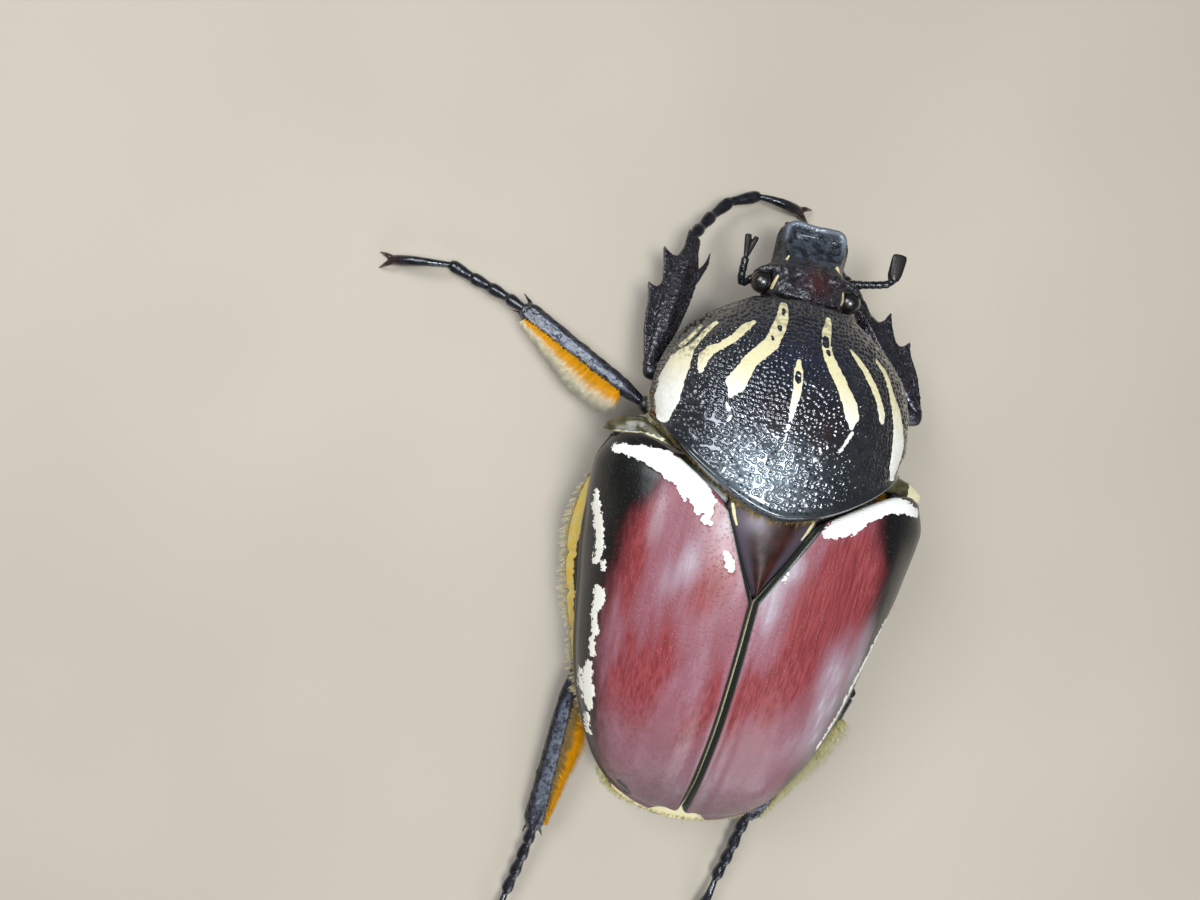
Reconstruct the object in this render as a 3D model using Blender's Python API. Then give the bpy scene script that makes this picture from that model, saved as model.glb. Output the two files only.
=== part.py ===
"""Female goliath beetle at life size, standing on its claws with the left legs reaching out.

Sizes are millimetres in the beetle's own frame: head towards -Y, its left side
towards +X, floor at z = 0, y = 0 where the pronotum meets the scutellum.
"""

import math

import bpy
import numpy as np

MM = 0.001

# Moves the beetle so that the middle of its footprint is the origin
STANCE_SHIFT = (-14.1, -14.1, 0.0)

# Gap kept between neighbouring solids
GAP = 0.3

# Elytra: a dome given by its half width, crown height and margin height along y
ELYTRA_STATIONS = (-3.7, 0.0, 6.0, 13.0, 22.0, 30.0, 34.5, 36.5, 37.4)
ELYTRA_HALF_WIDTH = (17.2, 18.6, 18.3, 17.2, 15.6, 12.5, 9.1, 5.8, 3.0)
ELYTRA_CROWN = (22.6, 22.9, 23.0, 22.7, 21.3, 18.3, 15.6, 14.0, 13.0)
ELYTRA_MARGIN = (14.6, 13.6, 12.2, 11.2, 11.0, 11.5, 11.9, 12.1, 12.2)
ELYTRA_POWER = 2.5
ELYTRON_THICKNESS = 1.2
SUTURE_HALF_GAP = 0.15
SCUTELLUM_CORNER = (4.75, 0.95)
SCUTELLUM_TIP_Y = 9.9
ELYTRON_FRONT_BULGE = -2.3
HUMERUS_Y = -2.7
ELYTRON_REAR_OUTER_Y = 37.3
ELYTRON_REAR_INNER_Y = 36.1

# Pronotum: dome and outline
PRONOTUM_STATIONS = (-22.0, -20.0, -18.0, -15.5, -12.0, -9.0, -6.1, 0.9)
PRONOTUM_HALF_WIDTH = (4.6, 8.1, 10.7, 12.8, 14.0, 14.3, 13.7, 14.4)
PRONOTUM_CROWN = (16.0, 18.0, 19.7, 21.3, 22.9, 23.7, 24.2, 24.3)
PRONOTUM_MARGIN = (13.6, 13.4, 13.3, 13.3, 13.6, 14.2, 15.0, 16.0)
PRONOTUM_POWER = 2.2
PRONOTUM_THICKNESS = 1.4
PRONOTUM_FRONT_Y = (-22.0, -21.6)
PRONOTUM_REAR_Y = (0.85, -6.1)
PRONOTUM_REAR_SWEEP = 1.6

# Trunk: crown under the shells, flank and belly
TRUNK_STATIONS = (-2.6, 0.0, 4.0, 8.0, 12.0, 16.0, 21.0, 26.0, 30.0, 33.0)
TRUNK_FLANK = (13.5, 17.6, 19.0, 19.3, 18.8, 17.8, 16.2, 14.4, 12.4, 10.2)
TRUNK_BELLY = (6.8, 5.9, 5.5, 5.5, 5.9, 6.4, 6.9, 7.2, 7.4, 7.6)
THORAX_SPAN = (-2.6, 11.4)
ABDOMEN_SPAN = (11.7, 33.0)
FLANK_DROP = 2.2

PYGIDIUM_STATIONS = (33.3, 35.2, 36.8, 38.0, 38.7)
PYGIDIUM_HALF_WIDTH = (9.8, 9.0, 7.6, 5.4, 2.7)
PYGIDIUM_TOP = (11.3, 11.4, 11.3, 10.9, 10.4)
PYGIDIUM_BOTTOM = (7.6, 7.8, 8.2, 8.7, 9.2)

PROSTERNUM_STATIONS = (-21.0, -19.0, -16.0, -12.0, -9.0, -7.2)
PROSTERNUM_HALF_WIDTH = (3.2, 6.0, 8.4, 9.4, 9.2, 8.0)
PROSTERNUM_TOP = (14.2, 16.0, 18.4, 20.2, 21.0, 21.2)
PROSTERNUM_BOTTOM = (10.0, 9.4, 8.8, 8.4, 8.4, 8.8)

# Head: half width, top and underside along y
HEAD_STATIONS = (-22.4, -23.6, -25.0, -26.2, -27.4, -28.8, -30.0, -30.9, -31.5)
HEAD_HALF_WIDTH = (4.2, 4.4, 3.9, 3.6, 3.9, 4.3, 4.2, 3.6, 2.4)
HEAD_TOP = (15.5, 15.3, 14.8, 14.2, 13.3, 12.4, 11.9, 11.6, 11.3)
HEAD_BOTTOM = (9.0, 8.9, 9.0, 9.2, 9.5, 9.8, 10.0, 10.2, 10.4)
EYE_CENTRE = (5.25, -23.5, 12.9)
EYE_RADIUS = 1.4

# Antennae: scape root to club root
ANTENNA_LEFT = (
    (4.3, -25.4, 10.9),
    (5.5, -24.2, 10.9),
    (7.1, -22.9, 11.3),
    (7.3, -24.4, 12.0),
    (7.3, -25.7, 12.0),
)
ANTENNA_RIGHT = (
    (-4.3, -25.6, 11.2),
    (-5.4, -25.8, 11.9),
    (-7.2, -26.2, 12.3),
    (-8.9, -26.6, 12.5),
    (-9.4, -27.3, 12.5),
)
LAMELLA_LENGTH = 2.9
LAMELLA_HALF_WIDTH = 0.8

# Joints of each leg: hip, knee, tibia apex, then the tarsus down to the claw tips
LEGS = {
    "fore_left": (
        (4.5, -13.0, 6.7),
        (14.9, -11.2, 10.2),
        (13.1, -27.6, 6.0),
        ((12.1, -29.3, 4.8), (11.0, -31.2, 3.9), (9.2, -33.5, 3.0), (5.9, -35.2, 2.2)),
        (0.4, -34.9, 1.3),
    ),
    "mid_left": (
        (4.6, -4.8, 5.4),
        (14.5, -7.5, 10.3),
        (30.1, -15.0, 5.0),
        ((32.3, -15.9, 4.0), (34.7, -16.7, 3.1), (37.1, -17.4, 2.5), (39.9, -18.3, 2.1)),
        (46.9, -17.3, 1.3),
    ),
    "hind_left": (
        (7.6, 10.5, 3.7),
        (14.5, 25.6, 6.4),
        (14.7, 46.6, 3.1),
        ((14.9, 48.9, 2.7), (15.2, 51.3, 2.4), (15.6, 53.7, 2.1), (16.0, 56.0, 1.9)),
        (17.0, 62.0, 1.3),
    ),
    "fore_right": (
        (-4.5, -13.0, 6.7),
        (-17.3, -13.2, 9.6),
        (-8.9, -24.6, 6.0),
        ((-7.7, -26.3, 4.7), (-6.5, -27.8, 3.6), (-5.4, -28.9, 2.7), (-4.4, -29.8, 2.0)),
        (-1.9, -31.4, 1.3),
    ),
    "mid_right": (
        (-4.6, -4.8, 5.4),
        (-16.2, -6.4, 9.6),
        (-19.2, 9.5, 4.0),
        ((-19.2, 11.8, 3.2), (-18.9, 14.2, 2.6), (-18.4, 16.4, 2.2), (-17.7, 18.6, 1.9)),
        (-15.3, 23.4, 1.3),
    ),
    "hind_right": (
        (-7.6, 10.5, 3.4),
        (-18.7, 21.0, 7.1),
        (-11.3, 39.7, 3.1),
        ((-10.9, 42.0, 2.7), (-10.6, 44.4, 2.4), (-10.2, 46.7, 2.1), (-9.7, 48.9, 1.9)),
        (-8.5, 54.3, 1.3),
    ),
}
FEMUR_RADIUS = {"fore": 1.7, "mid": 1.6, "hind": 1.5}
TIBIA_HALF_WIDTH = {"fore": 2.05, "mid": 1.15, "hind": 1.25}
# Teeth of the fore tibia: share of its length and reach outwards, at the root and at the tip
FORE_TEETH = (((0.90, 0.3), (1.04, 1.2)), ((0.78, 1.2), (0.86, 2.7)), ((0.50, 1.3), (0.58, 3.1)))
CLAW_LENGTH = 1.9
CLAW_SPREAD = 0.5


def blend(at, stations, values):
    """Smooth curve through the stations that never overshoots them."""
    at = np.asarray(at, float)
    xs = np.asarray(stations, float)
    ys = np.asarray(values, float)
    if xs[0] > xs[-1]:
        xs, ys = xs[::-1], ys[::-1]
    run = np.diff(xs)
    rise = np.diff(ys) / run
    slope = np.zeros(len(xs))
    same = rise[:-1] * rise[1:] > 0
    first = 2 * run[1:] + run[:-1]
    second = run[1:] + 2 * run[:-1]
    mean = (first + second) / (
        first / np.where(same, rise[:-1], 1) + second / np.where(same, rise[1:], 1)
    )
    slope[1:-1] = np.where(same, mean, 0)
    slope[0], slope[-1] = rise[0], rise[-1]
    at = np.clip(at, xs[0], xs[-1])
    i = np.clip(np.searchsorted(xs, at) - 1, 0, len(run) - 1)
    t = (at - xs[i]) / run[i]
    a = (1 + 2 * t) * (1 - t) ** 2
    b = t * (1 - t) ** 2
    c = t * t * (3 - 2 * t)
    d = t * t * (t - 1)
    return a * ys[i] + b * run[i] * slope[i] + c * ys[i + 1] + d * run[i] * slope[i + 1]


def build_mesh(name, verts, faces):
    mesh = bpy.data.meshes.new(name)
    moved = [tuple((np.asarray(v, float) + STANCE_SHIFT) * MM) for v in verts]
    mesh.from_pydata(moved, [], [tuple(int(i) for i in f) for f in faces])
    mesh.update()
    mesh.polygons.foreach_set("use_smooth", [True] * len(mesh.polygons))
    obj = bpy.data.objects.new(name, mesh)
    bpy.context.scene.collection.objects.link(obj)
    return obj


def boolean(base, others, operation):
    """Joins or cuts the base with the others, which are used up."""
    for other in others:
        step = base.modifiers.new("step", "BOOLEAN")
        step.operation = operation
        step.solver = "EXACT"
        step.object = other
        graph = bpy.context.evaluated_depsgraph_get()
        result = bpy.data.meshes.new_from_object(base.evaluated_get(graph))
        base.modifiers.clear()
        base.data = result
        bpy.data.objects.remove(other)
    base.data.name = base.name
    return base


def loft(name, rings):
    """Closed solid through rings that all have the same number of points."""
    count = len(rings[0])
    verts = [p for ring in rings for p in ring]
    faces = []
    for k in range(len(rings) - 1):
        for i in range(count):
            j = (i + 1) % count
            a, b = k * count, (k + 1) * count
            faces.append((a + i, a + j, b + j, b + i))
    last = (len(rings) - 1) * count
    faces.append(tuple(range(count))[::-1])
    faces.append(tuple(last + i for i in range(count)))
    obj = build_mesh(name, verts, faces)
    face_out(obj)
    return obj


def face_out(obj):
    """Turns the faces outwards, judged by the enclosed volume."""
    mesh = obj.data
    mesh.calc_loop_triangles()
    points = np.array([v.co for v in mesh.vertices])
    tris = np.array([t.vertices for t in mesh.loop_triangles])
    a, b, c = (points[tris[:, k]] for k in range(3))
    if np.einsum("ij,ij->", a, np.cross(b, c)) < 0:
        mesh.flip_normals()


def plate(name, outer, inner):
    """Closed shell between two grids of points of the same shape."""
    rows, cols = len(outer), len(outer[0])
    verts = [p for row in outer for p in row] + [p for row in inner for p in row]
    under = rows * cols
    faces = []
    for r in range(rows - 1):
        for c in range(cols - 1):
            a = r * cols + c
            b = a + cols
            faces.append((a, a + 1, b + 1, b))
            faces.append((under + a, under + b, under + b + 1, under + a + 1))
    edge = list(range(cols))
    edge += [r * cols + cols - 1 for r in range(1, rows)]
    edge += [(rows - 1) * cols + c for c in range(cols - 2, -1, -1)]
    edge += [r * cols for r in range(rows - 2, 0, -1)]
    for k, a in enumerate(edge):
        b = edge[(k + 1) % len(edge)]
        faces.append((b, a, under + a, under + b))
    obj = build_mesh(name, verts, faces)
    face_out(obj)
    return obj


def tube(name, path, widths, heights=None, sides=8, up=(0, 0, 1), twist=0.0):
    """Solid along a path with an elliptic section, flat in the plane across `up`."""
    path = np.asarray(path, float)
    heights = widths if heights is None else heights
    rings = []
    for k, point in enumerate(path):
        ahead = path[min(k + 1, len(path) - 1)] - path[max(k - 1, 0)]
        ahead = ahead / np.linalg.norm(ahead)
        side = np.cross(ahead, up)
        side = side / np.linalg.norm(side)
        top = np.cross(side, ahead)
        ring = []
        for i in range(sides):
            angle = 2 * math.pi * i / sides + twist
            across = widths[k] * math.cos(angle)
            above = heights[k] * math.sin(angle)
            ring.append(point + side * across + top * above)
        rings.append(ring)
    return loft(name, rings)


def ball(name, centre, radius, columns=12, rows=7):
    rings = []
    for k in range(rows):
        tilt = math.pi * (k + 0.5) / rows
        ring = []
        for i in range(columns):
            turn = 2 * math.pi * i / columns
            ring.append(
                (
                    centre[0] + radius * math.sin(tilt) * math.cos(turn),
                    centre[1] + radius * math.sin(tilt) * math.sin(turn),
                    centre[2] + radius * math.cos(tilt),
                )
            )
        rings.append(ring)
    return loft(name, rings)


def dome(x, y, stations, half_width, crown, margin, power, inset=0.0):
    """Height of a shell over the plan point x, y; inset gives its inner face."""
    wide = blend(y, stations, half_width) - inset
    low = blend(y, stations, margin)
    high = blend(y, stations, crown) - inset
    across = np.clip(np.abs(x) / wide, 0, 1)
    return low + (high - low) * (1 - across**power) ** (1 / 2.1)


def elytra_dome(x, y, inset=0.0):
    return dome(
        x,
        y,
        ELYTRA_STATIONS,
        ELYTRA_HALF_WIDTH,
        ELYTRA_CROWN,
        ELYTRA_MARGIN,
        ELYTRA_POWER,
        inset,
    )


def pronotum_dome(x, y, inset=0.0):
    return dome(
        x,
        y,
        PRONOTUM_STATIONS,
        PRONOTUM_HALF_WIDTH,
        PRONOTUM_CROWN,
        PRONOTUM_MARGIN,
        PRONOTUM_POWER,
        inset,
    )


def suture_side(y):
    """Inner edge of the elytron: along the scutellum, then along the suture."""
    corner_x, corner_y = SCUTELLUM_CORNER
    along = (y - corner_y) / (SCUTELLUM_TIP_Y - corner_y)
    return max(SUTURE_HALF_GAP, corner_x + (SUTURE_HALF_GAP - corner_x) * along)


def elytron(name, side):
    across, along = 9, 14
    grids = []
    for inset in (0.0, ELYTRON_THICKNESS):
        grid = []
        for r in range(along):
            t = r / (along - 1)
            t = t + 0.10 * math.sin(2 * math.pi * t) * (t - 0.5)
            ease = math.sin(t * math.pi / 2) ** 0.9
            end = inset * ease**12
            row = []
            for c in range(across):
                s = c / (across - 1)
                front = SCUTELLUM_CORNER[1] * (1 - s) + HUMERUS_Y * s
                front += ELYTRON_FRONT_BULGE * math.sin(math.pi * s**1.3)
                rear = ELYTRON_REAR_INNER_Y * (1 - s) + ELYTRON_REAR_OUTER_Y * s
                y = front + (rear - front) * ease - end
                y_inner = SCUTELLUM_CORNER[1]
                y_inner += (ELYTRON_REAR_INNER_Y - y_inner) * ease
                y_outer = HUMERUS_Y + (ELYTRON_REAR_OUTER_Y - HUMERUS_Y) * ease
                inner = suture_side(y_inner)
                outer = float(blend(y_outer, ELYTRA_STATIONS, ELYTRA_HALF_WIDTH))
                x = inner + (outer - inset - inner) * math.sin(s * math.pi / 2)
                row.append((side * x, y, float(elytra_dome(x, y, inset))))
            grid.append(row)
        grids.append(grid)
    return plate(name, grids[0], grids[1])


def pronotum(name):
    across, along = 17, 12
    grids = []
    for inset in (0.0, PRONOTUM_THICKNESS):
        grid = []
        for r in range(along):
            t = math.sin(math.pi / 2 * r / (along - 1))
            middle = PRONOTUM_FRONT_Y[0] + (PRONOTUM_REAR_Y[0] - PRONOTUM_FRONT_Y[0]) * t
            edge = PRONOTUM_FRONT_Y[1] + (PRONOTUM_REAR_Y[1] - PRONOTUM_FRONT_Y[1]) * t
            wide = float(blend(edge, PRONOTUM_STATIONS, PRONOTUM_HALF_WIDTH)) - inset
            row = []
            for c in range(across):
                s = -1 + 2 * c / (across - 1)
                share = math.sin(s * math.pi / 2)
                y = middle + (edge - middle) * abs(share) ** PRONOTUM_REAR_SWEEP
                x = wide * share
                row.append((x, y, float(pronotum_dome(x, y, inset))))
            grid.append(row)
        grids.append(grid)
    return plate(name, grids[0], grids[1])


def scutellum(name):
    across, along = 7, 7
    front_y = SCUTELLUM_CORNER[1] + GAP
    grids = []
    for drop in (0.0, 1.2):
        grid = []
        for r in range(along):
            t = r / (along - 1)
            y = front_y + (SCUTELLUM_TIP_Y - 0.9 - front_y) * t
            half = (SCUTELLUM_CORNER[0] - 0.45) * (1 - t) + 0.35 * t
            row = []
            for c in range(across):
                x = half * (-1 + 2 * c / (across - 1))
                z = float(elytra_dome(x, y)) - 0.25 - drop
                row.append((x, y, z))
            grid.append(row)
        grids.append(grid)
    return plate(name, grids[0], grids[1])


def trunk(name, start, end, steps):
    """Trunk section: crown under the shells, bulging flanks and flat belly."""
    arc = 11
    rings = []
    for y in np.linspace(start, end, steps):
        wide = float(blend(y, ELYTRA_STATIONS, ELYTRA_HALF_WIDTH))
        wide -= ELYTRON_THICKNESS + GAP + 0.2
        low = float(blend(y, ELYTRA_STATIONS, ELYTRA_MARGIN)) - 0.5
        high = min(float(blend(y, ELYTRA_STATIONS, ELYTRA_CROWN)) - 2.4, 20.6)
        flank = float(blend(y, TRUNK_STATIONS, TRUNK_FLANK))
        belly = float(blend(y, TRUNK_STATIONS, TRUNK_BELLY))
        wide = min(wide, flank - 0.6)
        ring = []
        for i in range(arc):
            angle = math.pi * i / (arc - 1)
            x = wide * math.copysign(abs(math.cos(angle)) ** 0.85, math.cos(angle))
            ring.append((x, y, low + (high - low) * math.sin(angle) ** 0.9))
        waist = low - FLANK_DROP
        for i in range(arc):
            angle = math.pi + math.pi * i / (arc - 1)
            x = flank * math.copysign(abs(math.cos(angle)) ** 0.9, math.cos(angle))
            z = waist - (waist - belly) * abs(math.sin(angle)) ** 0.9
            ring.append((x, y, z))
        rings.append(ring)
    return loft(name, rings)


def barrel(name, stations, half_width, top, bottom, steps, power=2.3, sides=16):
    """Solid along y with superelliptic sections."""
    rings = []
    for y in np.linspace(stations[0], stations[-1], steps):
        wide = float(blend(y, stations, half_width))
        high = float(blend(y, stations, top))
        low = float(blend(y, stations, bottom))
        ring = []
        for i in range(sides):
            angle = 2 * math.pi * i / sides
            c, s = math.cos(angle), math.sin(angle)
            x = wide * math.copysign(abs(c) ** (2 / power), c)
            z = (high + low) / 2 + (high - low) / 2 * math.copysign(abs(s) ** (2 / power), s)
            ring.append((x, y, z))
        rings.append(ring)
    return loft(name, rings)


def head(name):
    skull = barrel(
        name, HEAD_STATIONS, HEAD_HALF_WIDTH, HEAD_TOP, HEAD_BOTTOM, 14, 2.7, 18
    )
    x, y, z = EYE_CENTRE
    sockets = [ball("socket", (side * x, y, z), EYE_RADIUS + GAP) for side in (1, -1)]
    return boolean(skull, sockets, "DIFFERENCE")


def antenna(name, path, club_turn, fan, depth):
    """Scape, funicle and club; `fan` spreads two more lamellae beside the middle one."""
    root = np.asarray(path[-1], float)
    stem_widths = [0.45] + [0.4] * (len(path) - 2) + [0.42]
    shares = (0.08, 0.25, 0.55, 0.85, 1.0)
    swell = (0.5, 0.8, 1.0, 0.8, 0.45)
    ahead = np.array((math.cos(club_turn), math.sin(club_turn), 0.0))
    line = [*path, *(root + ahead * LAMELLA_LENGTH * s for s in shares)]
    widths = stem_widths + [LAMELLA_HALF_WIDTH * w for w in swell]
    heights = stem_widths + [depth * w for w in swell]
    stem = tube(name, line, widths, heights, sides=8)
    leaves = []
    for turn in fan:
        ahead = np.array((math.cos(club_turn + turn), math.sin(club_turn + turn), 0.0))
        start = root + (0, 0, 0.25 * turn) - ahead * 0.1
        line = [start + ahead * LAMELLA_LENGTH * s for s in (0.0, 0.3, 0.6, 0.85, 1.0)]
        leaves.append(tube("lamella", line, [0.35, 0.5, 0.6, 0.5, 0.3], sides=7))
    return boolean(stem, leaves, "UNION")


def shoulder(name, side):
    """Side plate of the mesothorax between pronotum corner and humerus."""
    outline = (
        (9.2, -3.1),
        (11.5, -4.3),
        (14.4, -6.1),
        (16.8, -5.4),
        (18.9, -4.1),
        (19.3, -3.3),
        (17.6, -3.6),
        (14.1, -4.2),
        (12.0, -4.2),
        (10.2, -3.5),
    )
    rings = []
    for level in (0.0, 1.0):
        ring = []
        for x, y in outline:
            top = 20.6 - 0.28 * x
            z = 12.4 + (top - 12.4) * level
            ring.append((side * x, y, z))
        rings.append(ring)
    return loft(name, rings)


def femur(name, hip, knee, radius):
    hip, knee = np.asarray(hip, float), np.asarray(knee, float)
    shares = (0.0, 0.08, 0.3, 0.6, 0.85, 0.95)
    swell = (0.6, 0.85, 1.0, 1.0, 0.78, 0.5)
    path = [hip + (knee - hip) * s for s in shares]
    widths = [radius * w for w in swell]
    return tube(name, path, widths, [w * 0.85 for w in widths], sides=10)


def spike(tip, root, width):
    tip, root = np.asarray(tip, float), np.asarray(root, float)
    path = [root + (tip - root) * s for s in (0.0, 0.55, 0.85, 1.0)]
    return tube("spike", path, [width, width * 0.72, width * 0.45, 0.25], None, 6)


def tibia(name, kind, side, knee, apex):
    """Broad toothed tibia of a fore leg, or slender tibia with two spurs and a ridge tooth."""
    knee, apex = np.asarray(knee, float), np.asarray(apex, float)
    ahead = (apex - knee) / np.linalg.norm(apex - knee)
    across = np.cross(ahead, (0, 0, 1))
    across = across / np.linalg.norm(across)
    outer = across * (1 if across[0] * side > 0 else -1)
    half = TIBIA_HALF_WIDTH[kind[0]]
    fore = kind[0] == "fore"
    if fore:
        shares = (0.145, 0.18, 0.3, 0.5, 0.78, 0.93, 1.0)
        swell = (0.4, 0.56, 0.92, 1.12, 1.0, 0.55, 0.4)
        deep = 0.45
    else:
        shares = (0.07, 0.11, 0.25, 0.5, 0.8, 0.94, 1.0)
        swell = (0.55, 0.75, 0.8, 0.88, 1.0, 1.05, 0.7)
        deep = 0.85
    path = [knee + (apex - knee) * s for s in shares]
    widths = [half * w for w in swell]
    heights = [max(half * w * deep, 0.5) for w in swell]
    shank = tube(name, path, widths, heights, sides=10)
    length = np.linalg.norm(apex - knee)
    parts = []
    if fore:
        for (root_share, root_reach), (share, reach) in FORE_TEETH:
            root = knee + ahead * length * root_share + outer * root_reach
            parts.append(spike(knee + ahead * length * share + outer * reach, root, 0.9))
        root = apex - ahead * 4.3 - outer * half * 0.7
        parts.append(spike(root - outer * 1.3 + ahead * 3.3, root, 0.5))
    else:
        for swing in (0.55, -0.75):
            root = apex - ahead * 1.2
            tip = apex + ahead * 1.6 + outer * 2.2 * swing
            parts.append(spike(tip - (0, 0, 0.5), root + outer * 0.4 * swing, 0.6))
        root = knee + ahead * length * 0.62 + outer * half * 0.2
        parts.append(spike(root + ahead * 1.0 + outer * 1.6, root, 0.7))
    return boolean(shank, parts, "UNION")


def tarsus(name, apex, joints, end):
    """Five tarsomeres and a pair of claws, cut flat where they meet the floor."""
    points = [np.asarray(p, float) for p in (apex, *joints, end)]
    ahead = (points[1] - points[0]) / np.linalg.norm(points[1] - points[0])
    points[0] = points[0] + ahead * (GAP + 0.45)
    path, widths = [], []
    for k in range(len(points) - 2):
        a, b = points[k], points[k + 1]
        for share, wide in ((0.03, 0.34), (0.55, 0.6), (0.9, 0.72)):
            path.append(a + (b - a) * share)
            widths.append(wide)
    a, b = points[-2], points[-1]
    for share, wide in ((0.04, 0.36), (0.35, 0.45), (0.7, 0.55), (1.0, 0.6)):
        lift = math.sin(math.pi * share) * 0.8
        path.append(a + (b - a) * share + (0, 0, lift))
        widths.append(wide)
    foot = tube(name, path, widths, sides=7)
    flat = (b - a) * (1, 1, 0)
    flat = flat / np.linalg.norm(flat)
    across = np.cross(flat, (0, 0, 1))
    claws = []
    for turn in (1, -1):
        line = []
        for share in (0.0, 0.3, 0.6, 0.85, 1.0):
            sway = across * turn * CLAW_SPREAD * share**0.7
            out = (flat * share + sway) * CLAW_LENGTH
            height = (b[2] - 0.13) * (1 - share**1.6) + 0.11 * share
            line.append((b[0] + out[0], b[1] + out[1], height + 0.013 * turn))
        start = np.array(line[0]) - flat * 0.35
        line[0] = tuple(start)
        claws.append(tube("claw", line, [0.42, 0.4, 0.34, 0.27, 0.22], sides=6))
    boolean(foot, claws, "UNION")
    low, high = -3.0, 0.0
    box = [
        [(-60, -60, z), (80, -60, z), (80, 90, z), (-60, 90, z)] for z in (low, high)
    ]
    return boolean(foot, [loft("floor", box)], "DIFFERENCE")


def material(name, colour, roughness):
    mat = bpy.data.materials.new(name)
    mat.use_nodes = True
    shader = mat.node_tree.nodes["Principled BSDF"]
    shader.inputs["Base Color"].default_value = (*colour, 1)
    shader.inputs["Roughness"].default_value = roughness
    return mat


def paint(obj, colour, roughness):
    obj.data.materials.clear()
    obj.data.materials.append(material(obj.name, colour, roughness))


def main():
    for obj in list(bpy.data.objects):
        bpy.data.objects.remove(obj)
    black, wine, amber = (0.012, 0.012, 0.014), (0.20, 0.012, 0.018), (0.05, 0.02, 0.01)
    paint(elytron("elytron_left", 1), wine, 0.3)
    paint(elytron("elytron_right", -1), wine, 0.3)
    paint(pronotum("pronotum"), black, 0.25)
    paint(scutellum("scutellum"), amber, 0.25)
    paint(trunk("thorax", *THORAX_SPAN, 8), amber, 0.5)
    paint(trunk("abdomen", *ABDOMEN_SPAN, 10), amber, 0.5)
    paint(
        barrel(
            "pygidium", PYGIDIUM_STATIONS, PYGIDIUM_HALF_WIDTH, PYGIDIUM_TOP, PYGIDIUM_BOTTOM, 7
        ),
        amber,
        0.4,
    )
    paint(
        barrel(
            "prosternum",
            PROSTERNUM_STATIONS,
            PROSTERNUM_HALF_WIDTH,
            PROSTERNUM_TOP,
            PROSTERNUM_BOTTOM,
            9,
        ),
        black,
        0.4,
    )
    paint(head("head"), black, 0.3)
    x, y, z = EYE_CENTRE
    for word, side in (("left", 1), ("right", -1)):
        paint(ball("eye_" + word, (side * x, y, z), EYE_RADIUS), (0.02, 0.01, 0.008), 0.08)
        paint(shoulder("shoulder_" + word, side), amber, 0.4)
    fanned = antenna("antenna_left", ANTENNA_LEFT, math.radians(-88), (-0.45, 0.5), 0.4)
    paint(fanned, black, 0.3)
    closed = antenna("antenna_right", ANTENNA_RIGHT, math.radians(-92), (), 0.6)
    paint(closed, black, 0.3)
    for name, (hip, knee, apex, joints, end) in LEGS.items():
        kind = name.split("_")
        side = 1 if kind[1] == "left" else -1
        paint(femur("femur_" + name, hip, knee, FEMUR_RADIUS[kind[0]]), black, 0.3)
        paint(tibia("tibia_" + name, kind, side, knee, apex), black, 0.3)
        paint(tarsus("tarsus_" + name, apex, joints, end), black, 0.3)


main()
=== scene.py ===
import itertools
import math

import bpy
import numpy as np
from mathutils import Matrix, Vector


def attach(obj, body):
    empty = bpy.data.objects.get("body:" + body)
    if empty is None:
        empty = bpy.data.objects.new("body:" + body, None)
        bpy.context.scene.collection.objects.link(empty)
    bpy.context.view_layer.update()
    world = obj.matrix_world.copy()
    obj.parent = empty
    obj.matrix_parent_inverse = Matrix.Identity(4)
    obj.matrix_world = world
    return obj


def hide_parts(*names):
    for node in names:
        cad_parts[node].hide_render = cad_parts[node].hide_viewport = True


# Sizes are millimetres in the beetle's own frame: head towards -Y, its left side towards
# +X, floor at z = 0, y = 0 where the pronotum meets the scutellum.
MM = 0.001
STANCE_SHIFT = (-14.1, -14.1, 0.0)
SIDES = {"left": 1, "right": -1}

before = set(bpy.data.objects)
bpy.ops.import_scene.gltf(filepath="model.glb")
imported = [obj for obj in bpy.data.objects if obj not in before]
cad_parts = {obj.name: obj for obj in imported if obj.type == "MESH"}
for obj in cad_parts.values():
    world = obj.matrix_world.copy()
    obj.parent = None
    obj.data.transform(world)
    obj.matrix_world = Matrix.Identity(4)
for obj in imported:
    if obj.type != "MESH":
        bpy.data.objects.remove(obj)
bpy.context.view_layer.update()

ELYTRA_STATIONS = (-3.7, 0.0, 6.0, 13.0, 22.0, 30.0, 34.5, 36.5, 37.4)
ELYTRA_HALF_WIDTH = (17.2, 18.6, 18.3, 17.2, 15.6, 12.5, 9.1, 5.8, 3.0)
ELYTRA_CROWN = (22.6, 22.9, 23.0, 22.7, 21.3, 18.3, 15.6, 14.0, 13.0)
ELYTRA_MARGIN = (14.6, 13.6, 12.2, 11.2, 11.0, 11.5, 11.9, 12.1, 12.2)
ELYTRA_POWER = 2.5
ELYTRON_THICKNESS = 1.2
SUTURE_HALF_GAP = 0.15
SCUTELLUM_CORNER = (4.75, 0.95)
SCUTELLUM_TIP_Y = 9.9
ELYTRON_FRONT_BULGE = -2.9
HUMERUS_Y = -2.7
ELYTRON_REAR_OUTER_Y = 37.3
ELYTRON_REAR_INNER_Y = 36.1

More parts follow.
